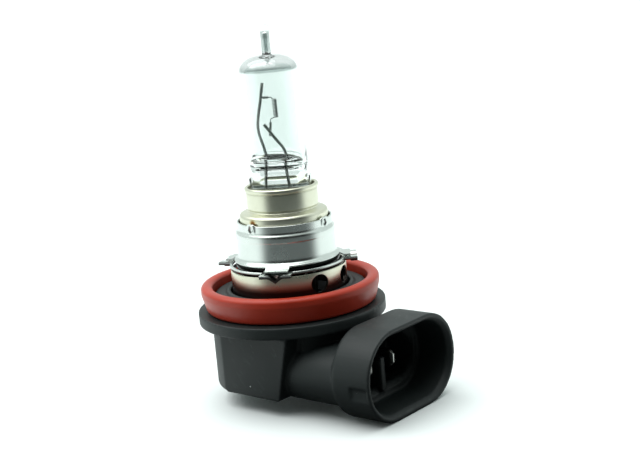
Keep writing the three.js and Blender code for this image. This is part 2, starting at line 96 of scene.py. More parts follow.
def rounded(corners, radius, steps=4):
    # every corner of a closed outline becomes a small arc
    points = []
    count = len(corners)
    for i, corner in enumerate(corners):
        here = Vector(corner)
        before = Vector(corners[i - 1]) - here
        after = Vector(corners[(i + 1) % count]) - here
        reach = min(radius, before.length * 0.45, after.length * 0.45)
        start = here + before.normalized() * reach
        end = here + after.normalized() * reach
        for k in range(steps + 1):
            share = k / steps
            points.append(start * (1 - share) ** 2 + here * 2 * share * (1 - share) + end * share ** 2)
    return points


def spun(name, outline, steps=160):
    # a closed outline of radius and height, turned round the bulb's axis
    points = []
    for i in range(steps):
        angle = 2 * math.pi * i / steps
        for radius, height in outline:
            points.append((radius * math.cos(angle), radius * math.sin(angle), height))
    return newPiece(name, points, ringFaces(steps, len(outline), closed=True))


def turnedPlug(name, radius, low, high):
    return spun(name, [(0, low), (radius, low), (radius, high), (0, high)])


def ringFaces(rings, around, closed):
    faces = []
    for ring in range(rings if closed else rings - 1):
        here = ring * around
        there = (ring + 1) % rings * around
        for i in range(around):
            j = (i + 1) % around
            faces.append((here + i, here + j, there + j, there + i))
    return faces


def lofted(name, rings):
    around = len(rings[0])
    points = [point for ring in rings for point in ring]
    faces = ringFaces(len(rings), around, closed=False)
    faces.append(tuple(reversed(range(around))))
    faces.append(tuple((len(rings) - 1) * around + i for i in range(around)))
    return newPiece(name, points, faces)


def smoothPath(points, steps=10):
    path = []
    last = len(points) - 1
    for i in range(last):
        a, b, c, d = (Vector(points[min(max(k, 0), last)]) for k in (i - 1, i, i + 1, i + 2))
        for k in range(steps):
            t = k / steps
            bend = (2 * a - 5 * b + 4 * c - d) * t * t + (3 * b - a - 3 * c + d) * t ** 3
            path.append((2 * b + (c - a) * t + bend) / 2)
    path.append(Vector(points[-1]))
    return path


def wireRings(path, radius, sides):
    # a round wire along a path, with slightly rounded cut ends
    rings = []
    side = (path[1] - path[0]).orthogonal().normalized()
    count = len(path)
    for i, point in enumerate(path):
        along = (path[min(i + 1, count - 1)] - path[max(i - 1, 0)]).normalized()
        side = (side - along * side.dot(along)).normalized()
        across = along.cross(side)
        circle = [side * math.cos(2 * math.pi * k / sides) + across * math.sin(2 * math.pi * k / sides)
                  for k in range(sides)]
        if i == 0:
            rings.append([point - along * radius * 0.12 + unit * radius * 0.8 for unit in circle])
        rings.append([point + unit * radius for unit in circle])
        if i == count - 1:
            rings.append([point + along * radius * 0.12 + unit * radius * 0.8 for unit in circle])
    return rings


def swept(name, path, radius, sides=14):
    piece = lofted(name, wireRings(path, radius, sides))
    shadeByAngle(piece, 50)
    return piece


def ovalRing(x, centre, halfWidth, halfHeight, corner, steps=16):
    # a rounded oblong in Y and Z at one X
    points = []
    for quarter, (acrossSide, upSide) in enumerate([(1, -1), (1, 1), (-1, 1), (-1, -1)]):
        for k in range(steps + 1):
            angle = (quarter - 1 + k / steps) * math.pi / 2
            across = acrossSide * (halfWidth - corner) + corner * math.cos(angle)
            up = upSide * (halfHeight - corner) + corner * math.sin(angle)
            points.append((x, across, centre + up))
    return points


def boxPiece(name, low, high):
    points = [(x, y, z) for x in (low[0], high[0]) for y in (low[1], high[1]) for z in (low[2], high[2])]
    faces = [(0, 1, 3, 2), (4, 6, 7, 5), (0, 4, 5, 1), (2, 3, 7, 6), (0, 2, 6, 4), (1, 5, 7, 3)]
    return newPiece(name, points, faces)


def smoothStep(low, high, value):
    share = min(max((value - low) / (high - low), 0), 1)
    return share * share * (3 - 2 * share)


def aboutAxis(points, degrees):
    turn = Matrix.Rotation(math.radians(degrees), 3, "Z")
    return [turn @ Vector(point) for point in points]


def sheetStrip(name, degrees, start, end, halfWidth, topAt, thickness, steps=(26, 40)):
    # pressed sheet that leaves the axis along one direction; topAt gives its upper face's height
    along, across = steps
    upper = []
    for i in range(along + 1):
        out = start + (end - start) * i / along
        for j in range(across + 1):
            side = halfWidth * (2 * j / across - 1)
            upper.append(Vector((out, side, topAt(out, side))))
    lower = [point - Vector((0, 0, thickness)) for point in upper]
    count = len(upper)
    row = across + 1
    faces = []
    for i in range(along):
        for j in range(across):
            a = i * row + j
            faces.append((a, a + row, a + row + 1, a + 1))
            faces.append((count + a, count + a + 1, count + a + row + 1, count + a + row))
    for i in range(along):
        for a, b in ((i * row, (i + 1) * row), ((i + 1) * row + across, i * row + across)):
            faces.append((a, count + a, count + b, b))
    for j in range(across):
        for a, b in ((j + 1, j), (along * row + j, along * row + j + 1)):
            faces.append((a, count + a, count + b, b))
    return newPiece(name, aboutAxis(upper + lower, degrees), faces)


def finishPiece(piece, material, slotName, *nodes):
    piece.data.materials.clear()
    piece.data.materials.append(material)
    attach(piece, "root")
    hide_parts(*nodes)


# Shared shader groups

def newGroup(name, inputs, outputs):
    group = bpy.data.node_groups.new(name, "ShaderNodeTree")
    for label, kind, value in inputs:
        socket = group.interface.new_socket(name=label, in_out="INPUT", socket_type=kind)
        socket.default_value = value
    for label, kind in outputs:
        group.interface.new_socket(name=label, in_out="OUTPUT", socket_type=kind)
    entry = group.nodes.new("NodeGroupInput")
    leave = group.nodes.new("NodeGroupOutput")
    return group, entry, leave


def addNode(tree, kind, values=None, links=None, **settings):
    node = tree.nodes.new(kind)
    for key, value in settings.items():
        setattr(node, key, value)
    for key, value in (values or {}).items():
        node.inputs[key].default_value = value
    for key, socket in (links or {}).items():
        tree.links.new(socket, node.inputs[key])
    return node


number = "NodeSocketFloat"


def grainGroup():
    # fine moulded or cast grain, with a broad cloudiness
    group, entry, leave = newGroup(
        "fineGrain",
        [("Scale", number, 3000.0), ("Clouds", number, 120.0)],
        [("Height", number), ("Cloud", number)],
    )
    place = addNode(group, "ShaderNodeTexCoord").outputs["Object"]
    fine = addNode(group, "ShaderNodeTexNoise", {"Detail": 3.0, "Roughness": 0.6},
                   {"Vector": place, "Scale": entry.outputs["Scale"]})
    broad = addNode(group, "ShaderNodeTexNoise", {"Detail": 4.0, "Roughness": 0.55},
                    {"Vector": place, "Scale": entry.outputs["Clouds"]})
    group.links.new(fine.outputs["Fac"], leave.inputs["Height"])
    group.links.new(broad.outputs["Fac"], leave.inputs["Cloud"])
    return group


def edgeGroup():
    # rubbed edges and a painted highlight on them, from how sharply the surface turns
    group, entry, leave = newGroup(
        "edgeWearAndHighlight",
        [("Start", number, 0.52), ("Full", number, 0.62), ("Breakup", number, 400.0)],
        [("Mask", number)],
    )
    turn = addNode(group, "ShaderNodeNewGeometry").outputs["Pointiness"]
    place = addNode(group, "ShaderNodeTexCoord").outputs["Object"]
    patches = addNode(group, "ShaderNodeTexNoise", {"Detail": 4.0},
                      {"Vector": place, "Scale": entry.outputs["Breakup"]})
    edge = addNode(group, "ShaderNodeMapRange", links={
        "Value": turn, "From Min": entry.outputs["Start"], "From Max": entry.outputs["Full"]})
    patchy = addNode(group, "ShaderNodeMapRange", {"From Min": 0.35, "From Max": 0.6, "To Min": 0.3},
                     {"Value": patches.outputs["Fac"]})
    mask = addNode(group, "ShaderNodeMath", operation="MULTIPLY")
    group.links.new(edge.outputs["Result"], mask.inputs[0])
    group.links.new(patchy.outputs["Result"], mask.inputs[1])
    group.links.new(mask.outputs["Value"], leave.inputs["Mask"])
    return group


def turnedGroup():
    # rings that drawing and rolling leave round the axis, and soft rub marks across them
    group, entry, leave = newGroup(
        "turnedRings",
        [("Ring Scale", number, 2200.0), ("Streak Scale", number, 260.0)],
        [("Rings", number), ("Streaks", number)],
    )
    place = addNode(group, "ShaderNodeTexCoord").outputs["Object"]
    split = addNode(group, "ShaderNodeSeparateXYZ", links={"Vector": place})
    flatX = addNode(group, "ShaderNodeMath", operation="MULTIPLY")
    flatY = addNode(group, "ShaderNodeMath", operation="MULTIPLY")
    for flat, axis in ((flatX, "X"), (flatY, "Y")):
        group.links.new(split.outputs[axis], flat.inputs[0])
        flat.inputs[1].default_value = 0.05
    stretched = addNode(group, "ShaderNodeCombineXYZ", links={
        "X": flatX.outputs["Value"], "Y": flatY.outputs["Value"], "Z": split.outputs["Z"]})
    rings = addNode(group, "ShaderNodeTexNoise", {"Detail": 3.0, "Roughness": 0.65},
                    {"Vector": stretched.outputs["Vector"], "Scale": entry.outputs["Ring Scale"]})
    streaks = addNode(group, "ShaderNodeTexNoise", {"Detail": 5.0, "Roughness": 0.6, "Distortion": 0.4},
                      {"Vector": place, "Scale": entry.outputs["Streak Scale"]})
    group.links.new(rings.outputs["Fac"], leave.inputs["Rings"])
    group.links.new(streaks.outputs["Fac"], leave.inputs["Streaks"])
    return group


def dustGroup():
    # sparse pale specks of dust
    group, entry, leave = newGroup(
        "dustSpecks",
        [("Scale", number, 420.0), ("Size", number, 0.1)],
        [("Mask", number)],
    )
    place = addNode(group, "ShaderNodeTexCoord").outputs["Object"]
    specks = addNode(group, "ShaderNodeTexVoronoi", links={
        "Vector": place, "Scale": entry.outputs["Scale"]})
    few = addNode(group, "ShaderNodeTexNoise", {"Scale": 160.0, "Detail": 2.0}, {"Vector": place})
    near = addNode(group, "ShaderNodeMath", operation="LESS_THAN")
    group.links.new(specks.outputs["Distance"], near.inputs[0])
    group.links.new(entry.outputs["Size"], near.inputs[1])
    rare = addNode(group, "ShaderNodeMath", operation="GREATER_THAN")
    group.links.new(few.outputs["Fac"], rare.inputs[0])
    rare.inputs[1].default_value = 0.56
    mask = addNode(group, "ShaderNodeMath", operation="MULTIPLY")
    group.links.new(near.outputs["Value"], mask.inputs[0])
    group.links.new(rare.outputs["Value"], mask.inputs[1])
    group.links.new(mask.outputs["Value"], leave.inputs["Mask"])
    return group


groups = {
    "grain": grainGroup(),
    "edge": edgeGroup(),
    "turned": turnedGroup(),
    "dust": dustGroup(),
}
print("shader groups built")


# Material helpers

def newMaterial(name, values):
    material = bpy.data.materials.new(name)
    material.use_nodes = True
    shader = material.node_tree.nodes["Principled BSDF"]
    for key, value in values.items():
        shader.inputs[key].default_value = value
    return material, material.node_tree, shader


def useGroup(tree, key, values=None):
    node = tree.nodes.new("ShaderNodeGroup")
    node.node_tree = groups[key]
    for label, value in (values or {}).items():
        node.inputs[label].default_value = value
    return node


def ramp(tree, factor, stops):
    node = tree.nodes.new("ShaderNodeValToRGB")
    while len(node.color_ramp.elements) < len(stops):
        node.color_ramp.elements.new(0.5)
    for element, (place, colour) in zip(node.color_ramp.elements, stops):
        element.position = place
        element.color = (*colour, 1)
    tree.links.new(factor, node.inputs["Fac"])
    return node.outputs["Color"]


def blendColours(tree, factor, first, second):
    node = tree.nodes.new("ShaderNodeMix")
    node.data_type = "RGBA"
    tree.links.new(factor, node.inputs[0])
    for index, colour in ((6, first), (7, second)):
        if isinstance(colour, tuple):
            node.inputs[index].default_value = (*colour, 1)
        else:
            tree.links.new(colour, node.inputs[index])
    return node.outputs[2]


def remap(tree, value, fromLow, fromHigh, toLow, toHigh):
    node = addNode(tree, "ShaderNodeMapRange", {
        "From Min": fromLow, "From Max": fromHigh, "To Min": toLow, "To Max": toHigh}, {"Value": value})
    return node.outputs["Result"]


def plainMath(tree, operation, first, second):
    node = addNode(tree, "ShaderNodeMath", operation=operation)
    for index, value in ((0, first), (1, second)):
        if isinstance(value, (int, float)):
            node.inputs[index].default_value = value
        else:
            tree.links.new(value, node.inputs[index])
    return node.outputs["Value"]


def addBump(tree, shader, height, strength, distance):
    bump = addNode(tree, "ShaderNodeBump", {"Strength": strength, "Distance": distance}, {"Height": height})
    tree.links.new(bump.outputs["Normal"], shader.inputs["Normal"])


def nearPoint(tree, point, reach):
    # 1 at a point of the frame, given in millimetres, falling to 0 at the reach
    place = addNode(tree, "ShaderNodeTexCoord").outputs["Object"]
    gap = addNode(tree, "ShaderNodeVectorMath", operation="DISTANCE")
    tree.links.new(place, gap.inputs[0])
    gap.inputs[1].default_value = Vector(point) * mm
    return remap(tree, gap.outputs["Value"], 0.0, reach * mm, 1.0, 0.0)


def distanceFromAxis(tree, split):
    across = addNode(tree, "ShaderNodeCombineXYZ", links={"X": split.outputs["X"], "Y": split.outputs["Y"]})
    radius = addNode(tree, "ShaderNodeVectorMath", operation="LENGTH")
    tree.links.new(across.outputs["Vector"], radius.inputs[0])
    return radius.outputs["Value"]


def sheetMetal(name, look, spots=(), shadedInsideRadius=None, paintedShadeBelow=None, paintedShadeUnder=None, paintedShadeBehind=None):
    # plated or bright drawn sheet, with spots that welding has tinted; it may be given painted shade inside
    # a radius, below a height, under a height within a radius (painted black), and behind an X
    material, tree, shader = newMaterial(name, {"Metallic": 1.0, "Specular Tint": (1, 1, 1, 1)})
    rings = useGroup(tree, "turned", {"Ring Scale": look["rings"], "Streak Scale": look["streaks"]})
    edges = useGroup(tree, "edge")
    base = ramp(tree, rings.outputs["Streaks"], [(0.3, look["dark"]), (0.65, look["colour"])])
    # edges are painted lighter: partly rubbed wear, partly a painted highlight where light catches the
    # rounded edges
    base = blendColours(tree, edges.outputs["Mask"], base, look["edge"])
    for point, reach in spots:
        heat = nearPoint(tree, point, reach)
        tint = ramp(tree, heat, [
            (0.0, look["colour"]),
            (0.35, (0.55, 0.44, 0.2)),
            (0.7, (0.2, 0.09, 0.03)),
        ])
        base = blendColours(tree, remap(tree, heat, 0.0, 0.6, 0.0, 1.0), base, tint)
    # painted shade: concave creases and pockets are darkened towards near black
    turn = addNode(tree, "ShaderNodeNewGeometry").outputs["Pointiness"]
    creviceShade = remap(tree, turn, 0.44, 0.34, 0.0, 0.85)
    base = blendColours(tree, creviceShade, base, (0.05, 0.055, 0.05))
    place = addNode(tree, "ShaderNodeTexCoord").outputs["Object"]
    split = addNode(tree, "ShaderNodeSeparateXYZ", links={"Vector": place})
    # painted shade: faces inside the radius are painted near black
    if shadedInsideRadius:
        radius = distanceFromAxis(tree, split)
        paintedShadeInside = remap(tree, radius, shadedInsideRadius * mm, (shadedInsideRadius - 0.1) * mm, 0.0, 1.0)
        base = blendColours(tree, paintedShadeInside, base, (0.012, 0.013, 0.012))
    # painted shade: below the height and within the radius the sheet is painted black
    if paintedShadeUnder:
        height, reach = paintedShadeUnder
        radius = distanceFromAxis(tree, split)
        within = remap(tree, radius, (reach + 0.1) * mm, reach * mm, 0.0, 1.0)
        shadeUnder = remap(tree, split.outputs["Z"], (height + 0.06) * mm, height * mm, 0.0, 1.0)
        base = blendColours(tree, plainMath(tree, "MULTIPLY", within, shadeUnder), base, (0.01, 0.011, 0.01))
    # painted shade: behind the given X the colour is darkened
    if paintedShadeBehind:
        front, back = paintedShadeBehind
        shadeBehind = remap(tree, split.outputs["X"], front * mm, back * mm, 0.0, 0.9)
        base = blendColours(tree, shadeBehind, base, (0.05, 0.05, 0.045))
    # painted shade: the colour darkens below a height
    if paintedShadeBelow:
        shadeStart, shadeFull = paintedShadeBelow
        shadeBelowMask = remap(tree, split.outputs["Z"], shadeStart * mm, shadeFull * mm, 0.0, 1.0)
        base = blendColours(tree, shadeBelowMask, base, (0.075, 0.06, 0.055))
    tree.links.new(base, shader.inputs["Base Color"])
    rough = remap(tree, rings.outputs["Streaks"], 0.35, 0.7, *look["rough"])
    tree.links.new(rough, shader.inputs["Roughness"])
    addBump(tree, shader, rings.outputs["Rings"], look["bump"], 0.02 * mm)
    return material


def plastic(name, look):
    material, tree, shader = newMaterial(name, {"IOR": look["ior"], "Specular IOR Level": look["specular"]})
    grain = useGroup(tree, "grain", {"Scale": look["grain"], "Clouds": 150.0})
    edges = useGroup(tree, "edge", {"Start": 0.58, "Full": 0.72})
    dust = useGroup(tree, "dust", {"Size": look["dust"]})
    base = ramp(tree, grain.outputs["Cloud"], [(0.35, look["dark"]), (0.68, look["colour"])])
    # edges are painted lighter: partly rubbed wear, partly a painted highlight where light catches the
    # rounded edges
    wornAndHighlit = plainMath(tree, "MULTIPLY", edges.outputs["Mask"], look["wearAndHighlight"])
    base = blendColours(tree, wornAndHighlit, base, look["edge"])
    base = blendColours(tree, dust.outputs["Mask"], base, (0.55, 0.58, 0.58))
    tree.links.new(base, shader.inputs["Base Color"])
    rough = remap(tree, grain.outputs["Cloud"], 0.3, 0.7, *look["rough"])
    tree.links.new(rough, shader.inputs["Roughness"])
    addBump(tree, shader, grain.outputs["Height"], look["bump"], 0.02 * mm)
    return material


def drawnWire(name, look):
    # grey drawn wire with a dull oxide that comes and goes along it
    material, tree, shader = newMaterial(name, {"Metallic": 1.0})
    grain = useGroup(tree, "grain", {"Scale": 5200.0, "Clouds": look["patches"]})
    base = ramp(tree, grain.outputs["Cloud"], [(0.35, look["dark"]), (0.65, look["colour"])])
    tree.links.new(base, shader.inputs["Base Color"])
    rough = remap(tree, grain.outputs["Cloud"], 0.3, 0.7, *look["rough"])
    tree.links.new(rough, shader.inputs["Roughness"])
    addBump(tree, shader, grain.outputs["Height"], 0.3, 0.01 * mm)
    return material


# Camera, floor and light

view = {
    "azimuth": 40.34,  # degrees round from the front
    "elevation": 12.21,
    "roll": -4.97,
    "distance": 215.6,
    "lens": 73.96,
    "aimHeight": 22.98,
    "aimSide": 5.56,
}


def makeCamera():
    azimuth, elevation, roll = (math.radians(view[key]) for key in ("azimuth", "elevation", "roll"))
    back = Vector((math.sin(azimuth) * math.cos(elevation), -math.cos(azimuth) * math.cos(elevation),
                   math.sin(elevation)))
    right = Vector((math.cos(azimuth), math.sin(azimuth), 0))
    up = back.cross(right)
    turnedRight = right * math.cos(roll) + up * math.sin(roll)
    turnedUp = up * math.cos(roll) - right * math.sin(roll)
    data = bpy.data.cameras.new("camera")
    data.lens = view["lens"]
    data.clip_start = 0.005
    camera = bpy.data.objects.new("camera", data)
    place = (Vector((0, 0, view["aimHeight"])) + right * view["aimSide"] + back * view["distance"]) * mm
    axes = Matrix((turnedRight, turnedUp, back)).transposed().to_4x4()
    camera.matrix_world = Matrix.Translation(place) @ axes
    bpy.context.scene.collection.objects.link(camera)
    bpy.context.scene.camera = camera


studio = {
    "frontCentre": 7,  # degrees round from the camera's side to the middle of the dark front
    "frontHalf": 62,
    "frontSoft": 15,
    "frontTop": (0.62, 0.9),
    "bright": 0.93,
    "dark": 0.02,
    "tint": (0.9, 1.0, 0.975),
    "sunAside": -100,
    "sunHeight": 72,
    "sunPower": 2.7,
    "sunSpread": 70,
}


def frontZoneGroup():
    # 1 towards the dark front of the studio, 0 towards its bright sides and back
    group, entry, leave = newGroup(
        "frontZone",
        [("Direction", "NodeSocketVector", (0, 0, 0))],
        [("Mask", number)],
    )
    middle = math.radians(view["azimuth"] - 90 + studio["frontCentre"])
    flat = addNode(group, "ShaderNodeVectorMath", operation="MULTIPLY")
    group.links.new(entry.outputs["Direction"], flat.inputs[0])
    flat.inputs[1].default_value = (1, 1, 0)
    unit = addNode(group, "ShaderNodeVectorMath", operation="NORMALIZE")
    group.links.new(flat.outputs["Vector"], unit.inputs[0])
    share = addNode(group, "ShaderNodeVectorMath", operation="DOT_PRODUCT")
    group.links.new(unit.outputs["Vector"], share.inputs[0])
    share.inputs[1].default_value = (math.cos(middle), math.sin(middle), 0)
    outer = math.cos(math.radians(studio["frontHalf"] + studio["frontSoft"]))
    inner = math.cos(math.radians(studio["frontHalf"] - studio["frontSoft"]))
    mask = addNode(group, "ShaderNodeMapRange", {"From Min": outer, "From Max": inner},
                   {"Value": share.outputs["Value"]}, interpolation_type="SMOOTHSTEP")
    group.links.new(mask.outputs["Result"], leave.inputs["Mask"])
    return group


groups["front"] = frontZoneGroup()

floorLook = {
    "size": 9000,
    "colour": (0.86, 0.9, 0.895),
    "frontColour": (0.1, 0.11, 0.11),
    "roughness": (0.6, 0.7),
}


def makeFloor():
    # the bulb leans on its connector's shroud and the far edge of its base, so the floor meets both
    corners = [vertex.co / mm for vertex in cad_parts["connector_housing"].data.vertices]
    mouth = min(corners, key=lambda corner: corner.z)
    mouthX = max(corner.x for corner in corners if corner.z < mouth.z + 0.05)
    slope = max((corner.z - mouth.z) / (corner.x - mouthX) for corner in corners if corner.x < mouthX - 2)
    half = floorLook["size"] / 2
    steps = 24
    points = []
    for i in range(steps + 1):
        for j in range(steps + 1):
            x = half * (2 * i / steps - 1)
            points.append((x, half * (2 * j / steps - 1), mouth.z + slope * (x - mouthX) - 0.02))
    row = steps + 1
    faces = [(i * row + j, (i + 1) * row + j, (i + 1) * row + j + 1, i * row + j + 1)
             for i in range(steps) for j in range(steps)]
    floor = newPiece("studioFloor", points, faces)
    material, tree, shader = newMaterial("paleFloor", {"Specular IOR Level": 0.1})
    grain = useGroup(tree, "grain", {"Scale": 900.0, "Clouds": 8.0})
    front = useGroup(tree, "front")
    place = addNode(tree, "ShaderNodeTexCoord").outputs["Object"]
    tree.links.new(place, front.inputs["Direction"])
    pale = tuple(value * 0.98 for value in floorLook["colour"])
    seen = ramp(tree, grain.outputs["Cloud"], [(0.3, pale), (0.7, floorLook["colour"])])
    bounced = blendColours(tree, front.outputs["Mask"], seen, floorLook["frontColour"])
    path = addNode(tree, "ShaderNodeLightPath")
    base = blendColours(tree, path.outputs["Is Camera Ray"], bounced, seen)
    tree.links.new(base, shader.inputs["Base Color"])
    rough = remap(tree, grain.outputs["Height"], 0.3, 0.7, *floorLook["roughness"])
    tree.links.new(rough, shader.inputs["Roughness"])
    floor.data.materials.append(material)
    return slope


def makeLights():
    world = bpy.data.worlds.new("studioWorld")
    bpy.context.scene.world = world
    world.use_nodes = True
    tree = world.node_tree
    sky = tree.nodes["Background"]
    direction = addNode(tree, "ShaderNodeTexCoord").outputs["Generated"]
    front = useGroup(tree, "front")
    tree.links.new(direction, front.inputs["Direction"])
    height = addNode(tree, "ShaderNodeSeparateXYZ", links={"Vector": direction}).outputs["Z"]
    low = remap(tree, height, studio["frontTop"][0], studio["frontTop"][1], 1.0, 0.0)
    mask = plainMath(tree, "MULTIPLY", front.outputs["Mask"], low)
    bright = tuple(value * studio["bright"] for value in studio["tint"])
    dark = tuple(value * studio["dark"] for value in studio["tint"])
    tree.links.new(blendColours(tree, mask, bright, dark), sky.inputs["Color"])
    data = bpy.data.lights.new("softSun", "SUN")
    data.energy = studio["sunPower"]
    data.angle = math.radians(studio["sunSpread"])
    sun = bpy.data.objects.new("softSun", data)
    aside = math.radians(view["azimuth"] - 90 + studio["sunAside"])
    rise = math.radians(studio["sunHeight"])
    towards = Vector((math.cos(aside) * math.cos(rise), math.sin(aside) * math.cos(rise), math.sin(rise)))
    sun.rotation_euler = towards.to_track_quat("Z", "Y").to_euler()
    bpy.context.scene.collection.objects.link(sun)
    bpy.context.scene.view_settings.view_transform = "Standard"


makeCamera()
floorSlope = makeFloor()
makeLights()
print("camera, floor and lights set, floor slope", round(floorSlope, 4))


# Connector housing

housing = {
    "flangeProud": 2.1,  # how far the flange stands out from the round body
    "bodyCorner": 0.5,
    "bodyFlat": 12.4,
    "flatStart": -4.9,
    "endFace": (6.5, 9.1),  # where the flats end, at the bottom and at the flange
    "endFaceInner": 9.3,
    "bodyTop": 10.5,
    "flangeTop": 12.4,
    "spigotRadius": 12.45,
    "deckTop": 15.2,
    "lipRadius": 10.5,
    "cupBore": 9.8,
    "ledge": (8.2, 9.4, 11.2),  # radius, underside and top of the step that the cup stands on
    "chamber": (10.1, 1.7, 9.4),  # radius, floor and end wall of the hollow
    "coverSeat": 10.7,
    "barrel": (11.3, 4.6, 3.8),  # half width, half height, centre height
    "shroud": (11.55, 7.35, 4.4),
    "shroudCorner": 7.15,
    "shroudStart": 16.5,
    "wall": 1.2,
    "leadIn": (0.8, 0.6),  # depth and width of the bevel inside the mouth
    "socketFloor": 17.4,
    "wellStart": 11.8,
    "wellHalf": (9.3, 3.6),
    "funnel": (16.6, 5.0),
    "keyRib": (0.65, 18.0, 5.2),  # half thickness, front and top
    "latch": (20.1, 23.5, 2.15, 0.45),  # start, end, height and depth of the recess in the shroud's side
    "latchDrop": 0.3,  # from the middle of the shroud down to the recess's top
    "barSlot": (0.7, 0.3, 3.1),  # half width, room below and height above a terminal's bar
    "voxel": 0.225,
    "smoothing": 3,
    "mostTriangles": 190000,
}


def housingSolid(low, high):
    flangeRadius = -low.x
    bodyRadius = flangeRadius - housing["flangeProud"]
    lipTop = high.z
    outline = [(0, 0), (bodyRadius - housing["bodyCorner"], 0)]
    for k in range(1, 9):
        angle = k / 8 * math.pi / 2
        outline.append((bodyRadius - housing["bodyCorner"] * (1 - math.sin(angle)),
                        housing["bodyCorner"] * (1 - math.cos(angle))))
    outline += [
        (bodyRadius, housing["bodyTop"]),
        (flangeRadius, housing["bodyTop"]),
        (flangeRadius, housing["flangeTop"]),
        (housing["spigotRadius"], housing["flangeTop"]),
        (housing["spigotRadius"], housing["deckTop"]),
        (housing["lipRadius"], housing["deckTop"]),
        (housing["lipRadius"], lipTop),
        (0, lipTop),
    ]
    solid = spun("connectorHousing", outline, 200)
    shapeCheeks(solid, flangeRadius + 1)
    barrelHalf, barrelHeight, barrelCentre = housing["barrel"]
    shroudHalf, shroudHeight, shroudCentre = housing["shroud"]
    corner, start, wall = housing["shroudCorner"], housing["shroudStart"], housing["wall"]
    mouth = high.x
    leadDepth, leadWidth = housing["leadIn"]
    ledgeRadius, ledgeLow, ledgeTop = housing["ledge"]
    barrel = lofted("barrel", [ovalRing(x, barrelCentre, barrelHalf, barrelHeight, barrelHeight - 0.1)
                               for x in (2, start + 0.5)])
    shroudRings = []
    for k in range(7):
        angle = k / 6 * math.pi / 2
        inset = 0.8 * (1 - math.sin(angle))
        shroudRings.append(ovalRing(start + 0.8 * (1 - math.cos(angle)), shroudCentre, shroudHalf - inset,
                                    shroudHeight - inset, corner - inset))
    shroudRings.append(ovalRing(mouth, shroudCentre, shroudHalf, shroudHeight, corner))
    combine(solid, [barrel, lofted("shroud", shroudRings)], "UNION")
    socketWalls = (
        (housing["socketFloor"], wall),
        (mouth - leadDepth, wall),
        (mouth, wall - leadWidth),
        (mouth + leadDepth, wall - 2 * leadWidth),
    )
    cuts = [
        lofted("socket", [
            ovalRing(x, shroudCentre, shroudHalf - thick, shroudHeight - thick, corner - thick)
            for x, thick in socketWalls
        ]),
        wellCut(barrelCentre, shroudCentre),
        chamberCut(),
        turnedPlug("coverSeat", housing["coverSeat"], -1, housing["chamber"][1]),
        turnedPlug("ledgeHole", ledgeRadius, ledgeLow - 1, ledgeTop + 1),
        turnedPlug("cupBore", housing["cupBore"], ledgeTop, lipTop + 1),
    ]
    latchStart, latchEnd, latchHeight, latchDepth = housing["latch"]
    latchTop = shroudCentre - housing["latchDrop"]
    cuts.append(boxPiece("latchCut", (latchStart, -shroudHalf - 1, latchTop - latchHeight),
                         (latchEnd, -shroudHalf + latchDepth, latchTop)))
    slotHalf, slotBelow, slotAbove = housing["barSlot"]
    for terminal in ("blade_terminal_left", "blade_terminal_right"):
        bladeLow, bladeHigh = boxOf(terminal)
        middle = (bladeLow.y + bladeHigh.y) / 2
        cuts.append(boxPiece("barCut", (0, middle - slotHalf, bladeLow.z - slotBelow),
                             (housing["wellStart"] + 1, middle + slotHalf, bladeLow.z + slotAbove)))
    combine(solid, cuts, "DIFFERENCE")
    ribHalf, ribFront, ribTop = housing["keyRib"]
    rib = boxPiece("keyRib", (housing["wellStart"] - 0.5, -ribHalf, -0.4), (ribFront, ribHalf, ribTop))
    return combine(solid, [rib], "UNION")


def leaningColumn(name, sides, starts, ends, heights):
    # upright column from one Y to another, whose start and end in X may differ at the bottom and the top
    near, far = sorted(sides)
    rings = []
    for start, end, height in zip(starts, ends, heights):
        rings.append([(start, near, height), (end, near, height), (end, far, height), (start, far, height)])
    return lofted(name, rings)


def shapeCheeks(solid, beyond):
    # flats on both sides of the round body, ending in a face that leans out towards the flange
    flat, top, start = housing["bodyFlat"], housing["bodyTop"], housing["flatStart"]
    low, high = housing["endFace"]
    lean = (high - low) / top
    overlap = 0.6  # into the flange above
    cheeks = []
    cuts = []
    for side, inner in ((-1, 0.0), (1, -0.5)):  # the cheeks overlap across the middle
        cheeks.append(leaningColumn("cheek", (inner, side * flat), (start, start),
                                    (low, high + lean * overlap), (0, top + overlap)))
        cuts.append(leaningColumn("besideFlat", (side * flat, side * beyond), (-beyond, -beyond),
                                  (beyond, beyond), (-1, top)))
        cuts.append(leaningColumn("besideBarrel", (side * housing["endFaceInner"], side * beyond),
                                  (low - lean, high), (beyond, beyond), (-1, top)))
    combine(solid, cheeks, "UNION")
    combine(solid, cuts, "DIFFERENCE")


def wellCut(barrelCentre, shroudCentre):
    half, height = housing["wellHalf"]
    funnelStart, funnelHeight = housing["funnel"]
    floorAt = housing["socketFloor"]
    return lofted("well", [
        ovalRing(housing["wellStart"], barrelCentre, half, height, height - 0.1),
        ovalRing(funnelStart, barrelCentre, half, height, height - 0.1),
        ovalRing(floorAt, shroudCentre, half, funnelHeight, height),
        ovalRing(floorAt + 0.5, shroudCentre, half, funnelHeight, height),
    ])


def chamberCut():
    radius, floorAt, endWall = housing["chamber"]
    top = housing["ledge"][1]
    chamber = turnedPlug("chamber", radius, floorAt - 0.5, top)
    wall = boxPiece("endWall", (endWall, -radius - 1, floorAt), (endWall + 5, radius + 1, top + 1))
    return combine(chamber, [wall], "DIFFERENCE")


